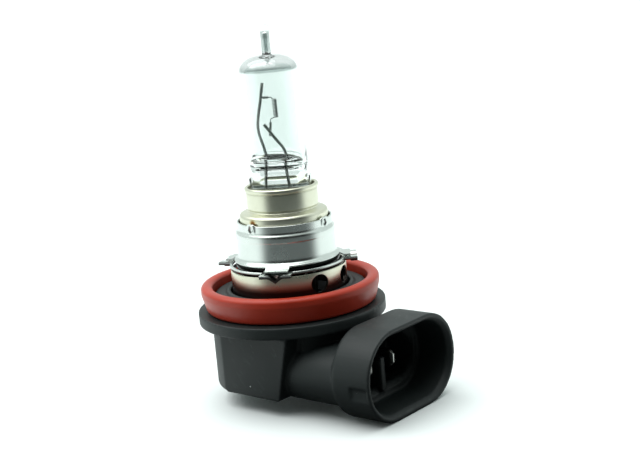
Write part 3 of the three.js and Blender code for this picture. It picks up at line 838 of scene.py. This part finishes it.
def makeHousing(material):
    low, high = boxOf("connector_housing")
    piece = housingSolid(low, high)
    remesh = piece.modifiers.new("mould", "REMESH")
    remesh.mode = "VOXEL"
    remesh.voxel_size = housing["voxel"] * mm
    soften = piece.modifiers.new("soften", "SMOOTH")
    soften.factor = 0.5
    soften.iterations = housing["smoothing"]
    applyModifiers(piece)
    faces = len(piece.data.polygons) * 2
    print("housing has", faces, "triangles before thinning")
    thin = piece.modifiers.new("thin", "DECIMATE")
    thin.ratio = min(1.0, housing["mostTriangles"] / faces)
    applyModifiers(piece)
    piece.data.shade_smooth()
    finishPiece(piece, material, "black_plastic", "connector_housing")


blackPlastic = plastic("blackPlastic", {
    "colour": (0.019, 0.0245, 0.0245),
    "dark": (0.014, 0.0185, 0.0185),
    "edge": (0.075, 0.09, 0.09),
    "rough": (0.46, 0.58),
    "ior": 1.47,
    "specular": 0.36,
    "grain": 5200.0,
    "bump": 0.25,
    "dust": 0.045,
    "wearAndHighlight": 0.25,
})
makeHousing(blackPlastic)
print("housing made")


# Bottom cover

cover = {"bevel": 0.35, "dishRadius": 6.5, "dish": 0.25, "gateRadius": 0.9}


def makeCover(material):
    low, high = boxOf("bottom_cover")
    radius = high.x
    outline = [
        (0, low.z + cover["dish"] + 0.15),
        (cover["gateRadius"], low.z + cover["dish"] + 0.15),
        (cover["gateRadius"] + 0.15, low.z + cover["dish"]),
        (cover["dishRadius"], low.z + cover["dish"]),
        (cover["dishRadius"] + 0.4, low.z),
        (radius - cover["bevel"], low.z),
        (radius, low.z + cover["bevel"]),
        (radius, high.z),
        (0, high.z),
    ]
    piece = spun("bottomCover", outline, 180)
    shadeByAngle(piece, 30)
    finishPiece(piece, material, "black_plastic", "bottom_cover")


makeCover(blackPlastic)


# Seal ring

seal = {
    "innerRadius": 12.75,
    "shoulder": 15.9,
    "bottomRadius": 13.85,
    "crownWobble": 0.04,
}


def siliconeRubber():
    material, tree, shader = newMaterial("redSilicone", {
        "IOR": 1.41,
        "Specular IOR Level": 0.42,
    })
    grain = useGroup(tree, "grain", {"Scale": 2600.0, "Clouds": 170.0})
    dust = useGroup(tree, "dust", {"Size": 0.05, "Scale": 520.0})
    base = ramp(tree, grain.outputs["Cloud"], [(0.3, (0.38, 0.028, 0.011)), (0.7, (0.46, 0.038, 0.016))])
    base = blendColours(tree, dust.outputs["Mask"], base, (0.3, 0.1, 0.08))
    tree.links.new(base, shader.inputs["Base Color"])
    rough = remap(tree, grain.outputs["Cloud"], 0.3, 0.7, 0.3, 0.42)
    tree.links.new(rough, shader.inputs["Roughness"])
    addBump(tree, shader, grain.outputs["Height"], 0.18, 0.03 * mm)
    return material


def makeSeal():
    low, high = boxOf("seal_ring")
    outer = high.x
    crownWidth = outer - seal["innerRadius"]
    outline = [(seal["innerRadius"], low.z), (seal["bottomRadius"], low.z),
               (seal["bottomRadius"] + 0.25, low.z + 0.3), (outer, seal["shoulder"] - 0.5)]
    for k in range(1, 16):
        angle = k / 16 * math.pi
        across = outer - crownWidth / 2 + crownWidth / 2 * math.cos(angle)
        rise = (high.z - seal["shoulder"]) * math.sin(angle) ** 0.75
        outline.append((across, seal["shoulder"] + rise))
    outline.append((seal["innerRadius"], seal["shoulder"] - 0.3))
    piece = spun("sealRing", rounded(outline, 0.22, 3), 240)
    for vertex in piece.data.vertices:
        angle = math.atan2(vertex.co.y, vertex.co.x)
        share = smoothStep(low.z, high.z, vertex.co.z / mm)
        vertex.co.z -= seal["crownWobble"] * mm * share * (1 + math.sin(3 * angle + 1.1)) / 2
    shadeByAngle(piece, 60)
    finishPiece(piece, siliconeRubber(), "red_silicone", "seal_ring")


makeSeal()
print("seal ring and bottom cover made")


# Metal cap

brightLook = {
    "colour": (0.72, 0.76, 0.73),
    "dark": (0.62, 0.66, 0.63),
    "edge": (0.85, 0.87, 0.85),
    "rough": (0.2, 0.3),
    "rings": 2600.0,
    "streaks": 230.0,
    "bump": 0.2,
}
nickelLook = {
    "colour": (0.74, 0.74, 0.61),
    "dark": (0.64, 0.64, 0.5),
    "edge": (0.86, 0.86, 0.76),
    "rough": (0.27, 0.38),
    "rings": 2200.0,
    "streaks": 200.0,
    "bump": 0.2,
}

capSheet = {
    "thickness": 0.5,
    "cupFillet": 0.18,
    "ventHalf": (1.6, 1.45),  # half width and half height
    "ventCentre": 17.25,
    "ventAngles": (-18, 21, 162, 201),
    "lugAngles": (-60, 40, 200),
}


def ventDrill(radius, degrees):
    halfWidth, halfHeight = capSheet["ventHalf"]
    rings = []
    for out in (radius - 2, radius + 2):
        ring = []
        for k in range(40):
            angle = 2 * math.pi * k / 40
            height = capSheet["ventCentre"] + halfHeight * math.sin(angle)
            ring.append((out, halfWidth * math.cos(angle), height))
        rings.append(aboutAxis(ring, degrees))
    return lofted("ventDrill", rings)


def makeCup(material):
    low, high = boxOf("base_cup")
    radius = high.x
    inner = radius - capSheet["thickness"]
    outline = rounded([(inner, low.z), (radius, low.z), (radius, high.z), (inner, high.z)],
                      capSheet["cupFillet"], 4)
    piece = spun("baseCup", outline, 240)
    combine(piece, [ventDrill(radius, degrees) for degrees in capSheet["ventAngles"]], "DIFFERENCE")
    shadeByAngle(piece, 40)
    finishPiece(piece, material, "nickelled_steel", "base_cup")


lugs = {
    "ringInner": 9.15,
    "ringOuter": 9.6,
    "halfWidth": 2.55,
    "ribHalfWidth": 1.25,
    "ribDepth": 0.8,
    "ribStart": (9.7, 10.4),
}


def makeLugRing(material):
    top = boxOf("lug_ring")[1].z
    tip = max(vertex.co.xy.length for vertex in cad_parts["lug_ring"].data.vertices) / mm
    thickness = capSheet["thickness"]
    outline = rounded([(lugs["ringInner"], top - thickness), (lugs["ringOuter"], top - thickness),
                       (lugs["ringOuter"], top), (lugs["ringInner"], top)], 0.12, 4)
    piece = spun("lugRing", outline, 240)

    def topAt(out, side):
        press = smoothStep(lugs["ribStart"][0], lugs["ribStart"][1], out)
        valley = max(0.0, 1 - abs(side) / lugs["ribHalfWidth"])
        soft = valley - 0.12 * math.sin(valley * math.pi) * (1 - valley)
        lipped = 0.05 * smoothStep(tip - 0.45, tip - 0.1, out)
        return top - lugs["ribDepth"] * press * soft - lipped

    reach = math.sqrt(tip * tip - lugs["halfWidth"] ** 2)
    start = lugs["ringInner"] + 0.08
    strips = [sheetStrip("lug", degrees, start, reach, lugs["halfWidth"], topAt, thickness)
              for degrees in capSheet["lugAngles"]]
    combine(piece, strips, "UNION")
    softenEdges(piece, 0.07)
    finishPiece(piece, material, "bright_steel", "lug_ring")


def softenEdges(piece, width, degrees=40):
    bevel = piece.modifiers.new("edges", "BEVEL")
    bevel.width = width * mm
    bevel.segments = 2
    bevel.limit_method = "ANGLE"
    bevel.angle_limit = math.radians(degrees)
    bevel.use_clamp_overlap = True
    applyModifiers(piece)
    shadeByAngle(piece, 40)


sleeve = {
    "bottom": 20.37,
    "radius": 8.05,
    "wall": 0.3,
    "neck": 7.8,
    "bead": (24.0, 25.6),
    "flareRadius": 8.7,
    "flareStart": 20.95,
    # the skirt is painted black by sleeveSteel, as painted shade in the gap under the flare
    "skirtLow": 19.2,  # the guide that hangs inside the lug ring
    "skirtRadius": 8.5,
    "footReach": 10.3,
    "footHalfWidth": 1.9,
    "footSheet": 0.26,
}

tack = {
    "angles": (-92.8, 6.3, 87.2, 186.3),
    "tinted": (-92.8, 186.3, 87.2),  # the ones that the weld has browned
    "low": 25.5,
    "height": 26.2,
    "halfWidth": 0.75,
    "reach": 0.75,
    "depth": 0.34,
    "bulge": 0.16,
    "rise": 0.3,
}


def pressTacks(piece, rim):
    # at every weld the rim stands up in a small tab with a lozenge-shaped dent below it
    for vertex in piece.data.vertices:
        spot = vertex.co / mm
        if spot.z < tack["low"]:
            continue
        radius = spot.xy.length
        angle = math.degrees(math.atan2(spot.y, spot.x))
        for degrees in tack["angles"]:
            aside = math.radians((angle - degrees + 180) % 360 - 180) * radius
            if abs(aside) > tack["halfWidth"] + 0.35:
                continue
            tab = smoothStep(tack["halfWidth"] + 0.3, tack["halfWidth"] - 0.2, abs(aside))
            rise = smoothStep(tack["low"], tack["low"] + 0.7, spot.z)
            gap = (abs(aside) + abs(spot.z - tack["height"])) / tack["reach"]
            dent = tack["depth"] * smoothStep(1.0, 0.3, gap)
            vertex.co.xy *= (radius + tack["bulge"] * tab * rise - dent) / radius
            vertex.co.z += tack["rise"] * mm * tab * smoothStep(tack["height"], rim, spot.z)


def denseOutline(outline, spacing):
    # extra points along long straight stretches, so that a press mark has a surface to bend
    points = []
    for i, point in enumerate(outline):
        following = outline[(i + 1) % len(outline)]
        pieces = max(1, round((Vector(following) - Vector(point)).length / spacing))
        points += [Vector(point).lerp(Vector(following), k / pieces) for k in range(pieces)]
    return points


def makeSleeve(material):
    tubeTop = boxOf("focus_sleeve")[1].z - tack["rise"]
    bottom = sleeve["bottom"]
    footTop = boxOf("lug_ring")[1].z + 0.12
    radius, wall, neck = sleeve["radius"], sleeve["wall"], sleeve["neck"]
    beadLow, beadHigh = sleeve["bead"]
    outline = [
        (sleeve["flareRadius"], bottom),
        (sleeve["flareRadius"] + 0.02, bottom + 0.24),
        (radius + 0.1, sleeve["flareStart"]),
        (radius, sleeve["flareStart"] + 0.5),
        (radius, beadLow),
        (radius + 0.13, beadLow + 0.35),
        (radius + 0.08, beadHigh - 0.45),
        (neck, beadHigh),
        (neck, tubeTop),
        (neck - wall, tubeTop),
        (neck - wall, beadHigh - 0.3),
        (radius - wall, beadLow),
        (radius - wall, sleeve["flareStart"] - 0.1),
        (sleeve["skirtRadius"] - 0.3, sleeve["flareStart"] - 0.4),
        (sleeve["skirtRadius"] - 0.3, sleeve["skirtLow"]),
        (sleeve["skirtRadius"], sleeve["skirtLow"]),
        (sleeve["skirtRadius"], bottom + 0.1),
    ]
    smooth = denseOutline(rounded(outline, 0.3, 5), 0.12)
    piece = spun("focusSleeve", smooth, 320)
    pressTacks(piece, tubeTop - 0.1)
    footSheet = sleeve["footSheet"]

    def footAt(out, side):
        settle = smoothStep(sleeve["flareRadius"] - 0.3, sleeve["flareRadius"] + 0.7, out)
        return bottom + footSheet + (footTop + 0.28 - bottom - footSheet) * settle

    feet = [sheetStrip("foot", degrees, sleeve["flareRadius"] - 0.45, sleeve["footReach"],
                       sleeve["footHalfWidth"], footAt, footSheet, (20, 24))
            for degrees in capSheet["lugAngles"]]
    combine(piece, feet, "UNION")
    shadeByAngle(piece, 40)
    finishPiece(piece, material, "bright_steel", "focus_sleeve")


ferrule = {
    "radius": 5.85,
    "wall": 0.4,
    "bead": 0.2,
    "shoulder": 28.1,
    "groove": 0.12,
}


def makeFerrule(material):
    low, high = boxOf("upper_ferrule")
    skirt = high.x
    radius, wall, bead, shoulder = ferrule["radius"], ferrule["wall"], ferrule["bead"], ferrule["shoulder"]
    inner = radius - wall
    outline = [
        (skirt - wall, low.z),
        (skirt, low.z),
        (skirt, shoulder - 0.35),
        (skirt - 0.25, shoulder),
        (radius + 0.35, shoulder + 0.2),
        (radius - ferrule["groove"], shoulder + 0.4),
        (radius - ferrule["groove"], shoulder + 0.6),
        (radius, shoulder + 0.8),
        (radius, high.z - 1.0),
        (radius - 0.08, high.z - 0.86),
        (radius + bead, high.z - 0.66),
        (radius + bead, high.z - 0.2),
        (radius - 0.05, high.z),
        (inner, high.z - 0.1),
        (inner, shoulder - 0.2),
        (skirt - wall, shoulder - 0.55),
    ]
    piece = spun("upperFerrule", rounded(outline, 0.22, 4), 240)
    shadeByAngle(piece, 40)
    finishPiece(piece, material, "nickelled_steel", "upper_ferrule")


def tackSpots(height, radius, reach):
    spots = []
    for degrees in tack["tinted"]:
        angle = math.radians(degrees)
        spots.append(((radius * math.cos(angle), radius * math.sin(angle), height), reach))
    return spots


# painted shade below the lugs' top in their pressed pockets; painted black shade under the sleeve's flare
brightSteel = sheetMetal("brightSteel", brightLook, paintedShadeBelow=(19.7, 19.5))
sleeveSteel = sheetMetal("sleeveSteel", brightLook, shadedInsideRadius=7.5, paintedShadeUnder=(20.36, 8.55))
# painted shade inside the cup and on its lower part by the deck
cupPlate = sheetMetal("cupPlate", nickelLook, shadedInsideRadius=9.3, paintedShadeBelow=(18.0, 16.4))
tintedNickel = sheetMetal("tintedNickel", nickelLook, tackSpots(tack["height"] + 1.0, 7.3, 1.0))
makeCup(cupPlate)
makeLugRing(brightSteel)
makeSleeve(sleeveSteel)
makeFerrule(tintedNickel)
print("metal cap made")


# Burner: glass, wires, filament and clamp

burner = {"turn": 30, "lean": 0.025, "pinchTop": 34.55, "domeStart": 50.8}


def burnerPoint(across, height, out=0.0):
    return aboutAxis([(across, -out, height)], burner["turn"])[0]


glassShape = {
    "radius": 4.7,
    "wall": 0.9,
    "pinchHalf": (4.45, 1.45),
    "web": 0.4,  # how far the pinch's faces are pressed in between its thick edges
    "ribs": 0.22,
    "swell": (35.55, 36.45, 37.35),
    "domeTop": 53.3,
    "tipRadius": 0.75,
    "tipBore": 0.3,
    "cavityBottom": 35.5,
    "around": 96,
}


def glassRing(height, halfWidth, halfThickness, squareness, pressed=0.0):
    # squareness 2 is an ellipse, and more is squarer; pressed sinks the middle of the broad faces
    tubeLength = burner["domeStart"] - burner["pinchTop"]
    lean = burner["lean"] * min(max(height - burner["pinchTop"], 0), tubeLength)
    ring = []
    for k in range(glassShape["around"]):
        angle = 2 * math.pi * (k + 0.5) / glassShape["around"]
        cos, sin = math.cos(angle), math.sin(angle)
        x = halfWidth * math.copysign(abs(cos) ** (2 / squareness), cos)
        y = halfThickness * math.copysign(abs(sin) ** (2 / squareness), sin)
        y *= 1 - pressed * (1 - smoothStep(0.55, 0.8, abs(x) / halfWidth)) / halfThickness
        ring.append(burnerPoint(x - lean, height, -y))
    return ring


def domeRings(radius, start, top, neck, steps=14):
    rings = []
    for k in range(steps + 1):
        angle = k / steps * math.pi / 2
        reach = neck + (radius - neck) * math.cos(angle) ** 0.85
        rings.append(glassRing(start + (top - start) * math.sin(angle), reach, reach, 2))
    return rings


def glassOutside(low, high):
    # pinch with its pressed faces and ribs, then shoulder, tube, dome and exhaust tip
    radius, domeTop, tip = glassShape["radius"], glassShape["domeTop"], glassShape["tipRadius"]
    pinchTop, domeStart = burner["pinchTop"], burner["domeStart"]
    halfWidth, halfThickness = glassShape["pinchHalf"]
    swellLow, swellHigh, tubeLow = glassShape["swell"]
    rings = []
    steps = 44
    for k in range(steps + 1):
        height = low + (pinchTop - low) * k / steps
        ribs = glassShape["ribs"] * max(0.0, math.sin((height - low) * 2.1)) ** 2
        pressed = (glassShape["web"] - ribs) * smoothStep(pinchTop, pinchTop - 0.8, height)
        rings.append(glassRing(height, halfWidth, halfThickness, 5, pressed))
    shoulder = [(pinchTop, halfWidth, halfThickness, 5), (swellLow, radius, radius * 0.48, 3.2),
                (swellHigh, radius, radius * 0.86, 2.4), (tubeLow, radius, radius, 2)]
    for first, second in zip(shoulder, shoulder[1:]):
        for k in range(1, 7):
            share = k / 6
            soft = share * share * (3 - 2 * share)
            height = first[0] + (second[0] - first[0]) * share
            values = [first[i] + (second[i] - first[i]) * soft for i in (1, 2, 3)]
            rings.append(glassRing(height, *values))
    for k in range(1, 12):
        rings.append(glassRing(tubeLow + (domeStart - tubeLow) * k / 12, radius, radius, 2))
    rings += domeRings(radius, domeStart, domeTop, tip)
    tipStraight = high - 0.6
    for k in range(1, 7):
        waist = tip * (0.94 + 0.06 * abs(k - 3) / 3)
        rings.append(glassRing(domeTop + (tipStraight - domeTop) * k / 6, waist, waist, 2))
    for k in range(1, 8):
        angle = k / 8 * math.pi / 2
        rim = tip * math.cos(angle)
        rings.append(glassRing(tipStraight + 0.6 * math.sin(angle), rim, rim, 2))
    return rings


def glassHollow():
    # the bulb's inside, which grows from the pinch, and the narrow bore left in the exhaust tip
    inner = glassShape["radius"] - glassShape["wall"]
    innerTop = glassShape["domeTop"] - glassShape["wall"]
    domeStart, bottom, bore = burner["domeStart"], glassShape["cavityBottom"], glassShape["tipBore"]
    growth = [(0.0, 0.8, 0.1, 2.6), (0.25, 0.94, 0.22, 2.6), (0.7, 0.98, 0.38, 2.5), (1.2, 1.0, 0.58, 2.4),
              (1.8, 1.0, 0.8, 2.2), (2.4, 1.0, 0.95, 2.1), (2.9, 1.0, 1.0, 2.0)]
    rings = [glassRing(bottom + rise, inner * wide, inner * deep, square)
             for rise, wide, deep, square in growth]
    straight = bottom + growth[-1][0]
    for k in range(1, 12):
        rings.append(glassRing(straight + (domeStart - straight) * k / 12, inner, inner, 2))
    rings += domeRings(inner, domeStart, innerTop, bore)
    for k in range(1, 6):
        rings.append(glassRing(innerTop + 4.2 * k / 5, bore, bore, 2))
    rings.append(glassRing(innerTop + 4.5, bore * 0.4, bore * 0.4, 2))
    return rings


def makeGlass(material):
    low, high = boxOf("glass_envelope")
    piece = lofted("glassEnvelope", glassOutside(low.z, high.z))
    cavity = lofted("cavity", glassHollow())
    cavity.data.flip_normals()
    work = bmesh.new()
    work.from_mesh(piece.data)
    work.from_mesh(cavity.data)
    work.to_mesh(piece.data)
    work.free()
    bpy.data.objects.remove(cavity)
    piece.data.shade_smooth()
    finishPiece(piece, material, "clear_glass", "glass_envelope")


def clearGlass():
    # hard glass, very slightly green, with a thin grey coat that fades up the dome
    material, tree, shader = newMaterial("hardGlass", {
        "IOR": 1.49,
        "Transmission Weight": 1.0,
        "Metallic": 0.0,
    })
    place = addNode(tree, "ShaderNodeTexCoord").outputs["Object"]
    height = addNode(tree, "ShaderNodeSeparateXYZ", links={"Vector": place}).outputs["Z"]
    grain = useGroup(tree, "grain", {"Scale": 700.0, "Clouds": 240.0})
    start = burner["domeStart"] * mm
    top = glassShape["domeTop"] * mm
    fade = remap(tree, height, start, start + (top - start) * 0.55, 1.0, 0.12)
    edge = remap(tree, height, start - 0.04 * mm, start + 0.02 * mm, 0.0, 1.0)
    coat = plainMath(tree, "MULTIPLY", fade, edge)
    inTip = plainMath(tree, "MULTIPLY", remap(tree, height, top, top + 0.7 * mm, 0.0, 1.0),
                      remap(tree, height, top + 3.6 * mm, top + 3.9 * mm, 1.0, 0.0))
    coat = plainMath(tree, "MAXIMUM", coat, inTip)
    soot = remap(tree, grain.outputs["Cloud"], 0.3, 0.7, 0.85, 1.0)
    coat = plainMath(tree, "MULTIPLY", coat, soot)
    # below the dome the glass is painted greyer and greener where it faces the camera and paler towards its
    # outline: painted shade in the middle and a painted halo of light at the outline
    outlineHalo = addNode(tree, "ShaderNodeLayerWeight", {"Blend": 0.5}).outputs["Facing"]
    body = ramp(tree, outlineHalo, [(0.25, (0.85, 0.89, 0.875)), (0.8, (0.98, 0.99, 0.985))])
    body = blendColours(tree, remap(tree, height, start + 0.6 * mm, start + 1.4 * mm, 0.0, 1.0), body,
                        (0.985, 0.99, 0.99))
    base = blendColours(tree, coat, body, (0.42, 0.47, 0.46))
    tree.links.new(base, shader.inputs["Base Color"])
    rough = remap(tree, coat, 0.0, 1.0, 0.01, 0.12)
    tree.links.new(rough, shader.inputs["Roughness"])
    addBump(tree, shader, grain.outputs["Cloud"], 0.12, 0.05 * mm)
    return material


wires = {
    "radius": 0.25,
    "long": [(-1.57, 48.86), (-2.1, 46.3), (-2.99, 41.85), (-2.3, 38.4), (-2.1, 36.2), (-2.3, 33.5),
             (-2.5, 31.0), (-2.5, 25.5)],
    "short": [(-1.89, 42.19), (-0.5, 40.2), (0.87, 38.19), (1.14, 36.62), (1.3, 33.5), (1.6, 31.0),
              (1.6, 25.5)],
    "sleeveRadius": 0.2,
}

coil = {
    "aboveLugs": 25.4,  # from the lugs' underside to the middle of the winding
    "length": 3.1,
    "radius": 0.41,
    "wire": 0.075,
    "turns": 13,
    "topAcross": 0.14,
    "bottomAcross": 0.18,
}


def makeWires(material):
    for name, key, node in (("longSupportWire", "long", "long_support_wire"),
                            ("shortSupportWire", "short", "short_support_wire")):
        path = smoothPath([burnerPoint(across, height) for across, height in wires[key]], 14)
        finishPiece(swept(name, path, wires["radius"], 20), material, "molybdenum", node)


def makeFilament(material, sleeveMaterial):
    # one wire: leg, close winding, leg
    middle = boxOf("lug_ring")[1].z - capSheet["thickness"] + coil["aboveLugs"]
    top = middle + coil["length"] / 2
    bottom = middle - coil["length"] / 2
    upperLeg = [burnerPoint(-1.5, top + 0.25), burnerPoint(-0.72, top + 0.25), burnerPoint(-0.3, top + 0.2)]
    lowerLeg = [burnerPoint(-0.55, bottom - 0.12, -0.3), burnerPoint(-0.8, bottom - 0.22, -0.48),
                burnerPoint(-0.9, bottom - 0.65, -0.6), burnerPoint(-1.05, bottom - 1.9, -0.6)]
    reach = coil["radius"] - coil["wire"]
    steps = 22 * coil["turns"]
    winding = []
    for k in range(steps + 1):
        share = k / steps
        angle = math.pi + 2 * math.pi * coil["turns"] * share
        across = coil["topAcross"] + (coil["bottomAcross"] - coil["topAcross"]) * share
        height = top - coil["wire"] - (coil["length"] - 2 * coil["wire"]) * share
        winding.append(burnerPoint(across + reach * math.cos(angle), height, reach * math.sin(angle)))
    path = smoothPath(upperLeg + [winding[0]], 6)[:-1] + winding
    path += smoothPath([winding[-1]] + lowerLeg, 6)[1:]
    finishPiece(swept("filament", path, coil["wire"], 10), material, "tungsten", "filament")
    sleeves = (
        ("upperLegSleeve", "upper_leg_sleeve",
         burnerPoint(-1.72, top + 0.25), burnerPoint(-0.82, top + 0.25)),
        ("lowerLegSleeve", "lower_leg_sleeve",
         burnerPoint(-0.9, bottom - 0.75, -0.6), burnerPoint(-1.2, bottom - 2.95, -0.6)),
    )
    for name, node, first, last in sleeves:
        path = [first.lerp(last, k / 8) for k in range(9)]
        finishPiece(swept(name, path, wires["sleeveRadius"], 18), sleeveMaterial, "molybdenum", node)


clamp = {
    "gap": 0.25,
    "wall": 0.25,
    "low": 27.4,
    "high": 32.1,
    "tongueHalf": 0.8,
    "spread": 0.12,  # how far the tongues' tips lean out
}


def makeClamp(material):
    tongueTop = boxOf("pinch_clamp")[1].z
    halfWidth, halfThickness = glassShape["pinchHalf"]

    def hoop(grow, bottom, top):
        return [glassRing(height, halfWidth + grow, halfThickness + grow, 5) for height in (bottom, top)]

    piece = lofted("pinchClamp", hoop(clamp["gap"] + clamp["wall"], clamp["low"], clamp["high"]))
    tongues = []
    for side in (-1, 1):
        root = clamp["high"] - 1
        rings = []
        for k in range(9):
            height = root + (tongueTop - root) * k / 8
            near = side * (halfWidth + clamp["gap"] + clamp["spread"] * (k / 8) ** 2)
            far = near + side * clamp["wall"]
            half = clamp["tongueHalf"] * (1 if k < 8 else 0.8)
            corners = [(near, -half), (far, -half), (far, half), (near, half)]
            rings.append([burnerPoint(across, height, out) for across, out in corners])
        tongues.append(lofted("tongue", rings))
    combine(piece, tongues, "UNION")
    opening = lofted("opening", hoop(clamp["gap"], clamp["low"] - 1, clamp["high"] + 1))
    combine(piece, [opening], "DIFFERENCE")
    softenEdges(piece, 0.05)
    finishPiece(piece, material, "spring_steel", "pinch_clamp")


molybdenum = drawnWire("molybdenumWire", {
    "colour": (0.42, 0.44, 0.42), "dark": (0.26, 0.28, 0.26), "rough": (0.42, 0.55), "patches": 320.0})
tungsten = drawnWire("tungstenWire", {
    "colour": (0.4, 0.42, 0.41), "dark": (0.25, 0.27, 0.26), "rough": (0.42, 0.55), "patches": 600.0})
nickelWire = drawnWire("nickelWire", {
    "colour": (0.66, 0.64, 0.58), "dark": (0.52, 0.5, 0.45), "rough": (0.22, 0.34), "patches": 260.0})
springSteel = sheetMetal("springSteel", dict(brightLook, rough=(0.2, 0.32), rings=1500.0))
makeGlass(clearGlass())
makeWires(molybdenum)
makeFilament(tungsten, molybdenum)
makeClamp(springSteel)
print("burner made")


# Blade terminals

blade = {
    "height": 2.8,
    "riserWidth": 2.0,
    "chamfer": 0.7,
    "tipTaper": 0.22,
    "taperLength": 0.9,
    "bevel": 0.1,
}


def makeBlade(side, material):
    node = "blade_terminal_left" if side < 0 else "blade_terminal_right"
    low, high = boxOf(node)
    bladeHigh = low.z + blade["height"]
    back = low.x
    riserFront = back + blade["riserWidth"]
    chamfer = blade["chamfer"]
    outline = [
        (back, low.z),
        (high.x - chamfer, low.z),
        (high.x, low.z + chamfer),
        (high.x, bladeHigh - chamfer),
        (high.x - chamfer, bladeHigh),
        (riserFront, bladeHigh),
        (riserFront, high.z),
        (back, high.z),
    ]
    count = len(outline)
    points = [(x, y, z) for y in (low.y, high.y) for x, z in outline]
    faces = [tuple(range(count)), tuple(reversed(range(count, 2 * count)))]
    faces += [(i, (i + 1) % count, (i + 1) % count + count, i + count) for i in range(count)]
    piece = newPiece("bladeTerminalLeft" if side < 0 else "bladeTerminalRight", points, faces)
    softenEdges(piece, blade["bevel"], 30)
    middle = (low.y + high.y) / 2 * mm
    for vertex in piece.data.vertices:
        thin = blade["tipTaper"] * smoothStep(high.x - blade["taperLength"], high.x, vertex.co.x / mm)
        vertex.co.y = middle + (vertex.co.y - middle) * (1 - 2 * thin)
    finishPiece(piece, material, "tinned_brass", node)


# the blades get painted shade behind their tips, deep in the shroud's mouth
bladeTip = boxOf("blade_terminal_right")[1].x
tinnedBrass = sheetMetal("tinnedBrass", dict(
    brightLook, colour=(0.75, 0.74, 0.7), dark=(0.62, 0.6, 0.55), rough=(0.28, 0.42), rings=900.0),
    paintedShadeBehind=(bladeTip - 0.35, bladeTip - 0.75))
for side in (-1, 1):
    makeBlade(side, tinnedBrass)
print("terminals made")


# Pieces inside, which keep their frame shapes

greyPlastic = plastic("greyPlastic", {
    "colour": (0.03, 0.034, 0.037),
    "dark": (0.022, 0.025, 0.028),
    "edge": (0.05, 0.055, 0.058),
    "rough": (0.5, 0.62),
    "ior": 1.47,
    "specular": 0.4,
    "grain": 3800.0,
    "bump": 0.25,
    "dust": 0.03,
    "wearAndHighlight": 0.2,
})
darkResin = plastic("darkResin", {
    "colour": (0.012, 0.013, 0.016),
    "dark": (0.008, 0.009, 0.011),
    "edge": (0.02, 0.021, 0.024),
    "rough": (0.24, 0.36),
    "ior": 1.52,
    "specular": 0.5,
    "grain": 900.0,
    "bump": 0.12,
    "dust": 0.03,
    "wearAndHighlight": 0.2,
})
inside = {
    "terminal_carrier": greyPlastic,
    "sealing_compound": darkResin,
    "long_lead_tail": nickelWire,
    "short_lead_tail": nickelWire,
}
for node, material in inside.items():
    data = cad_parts[node].data
    data.materials.clear()
    data.materials.append(material)
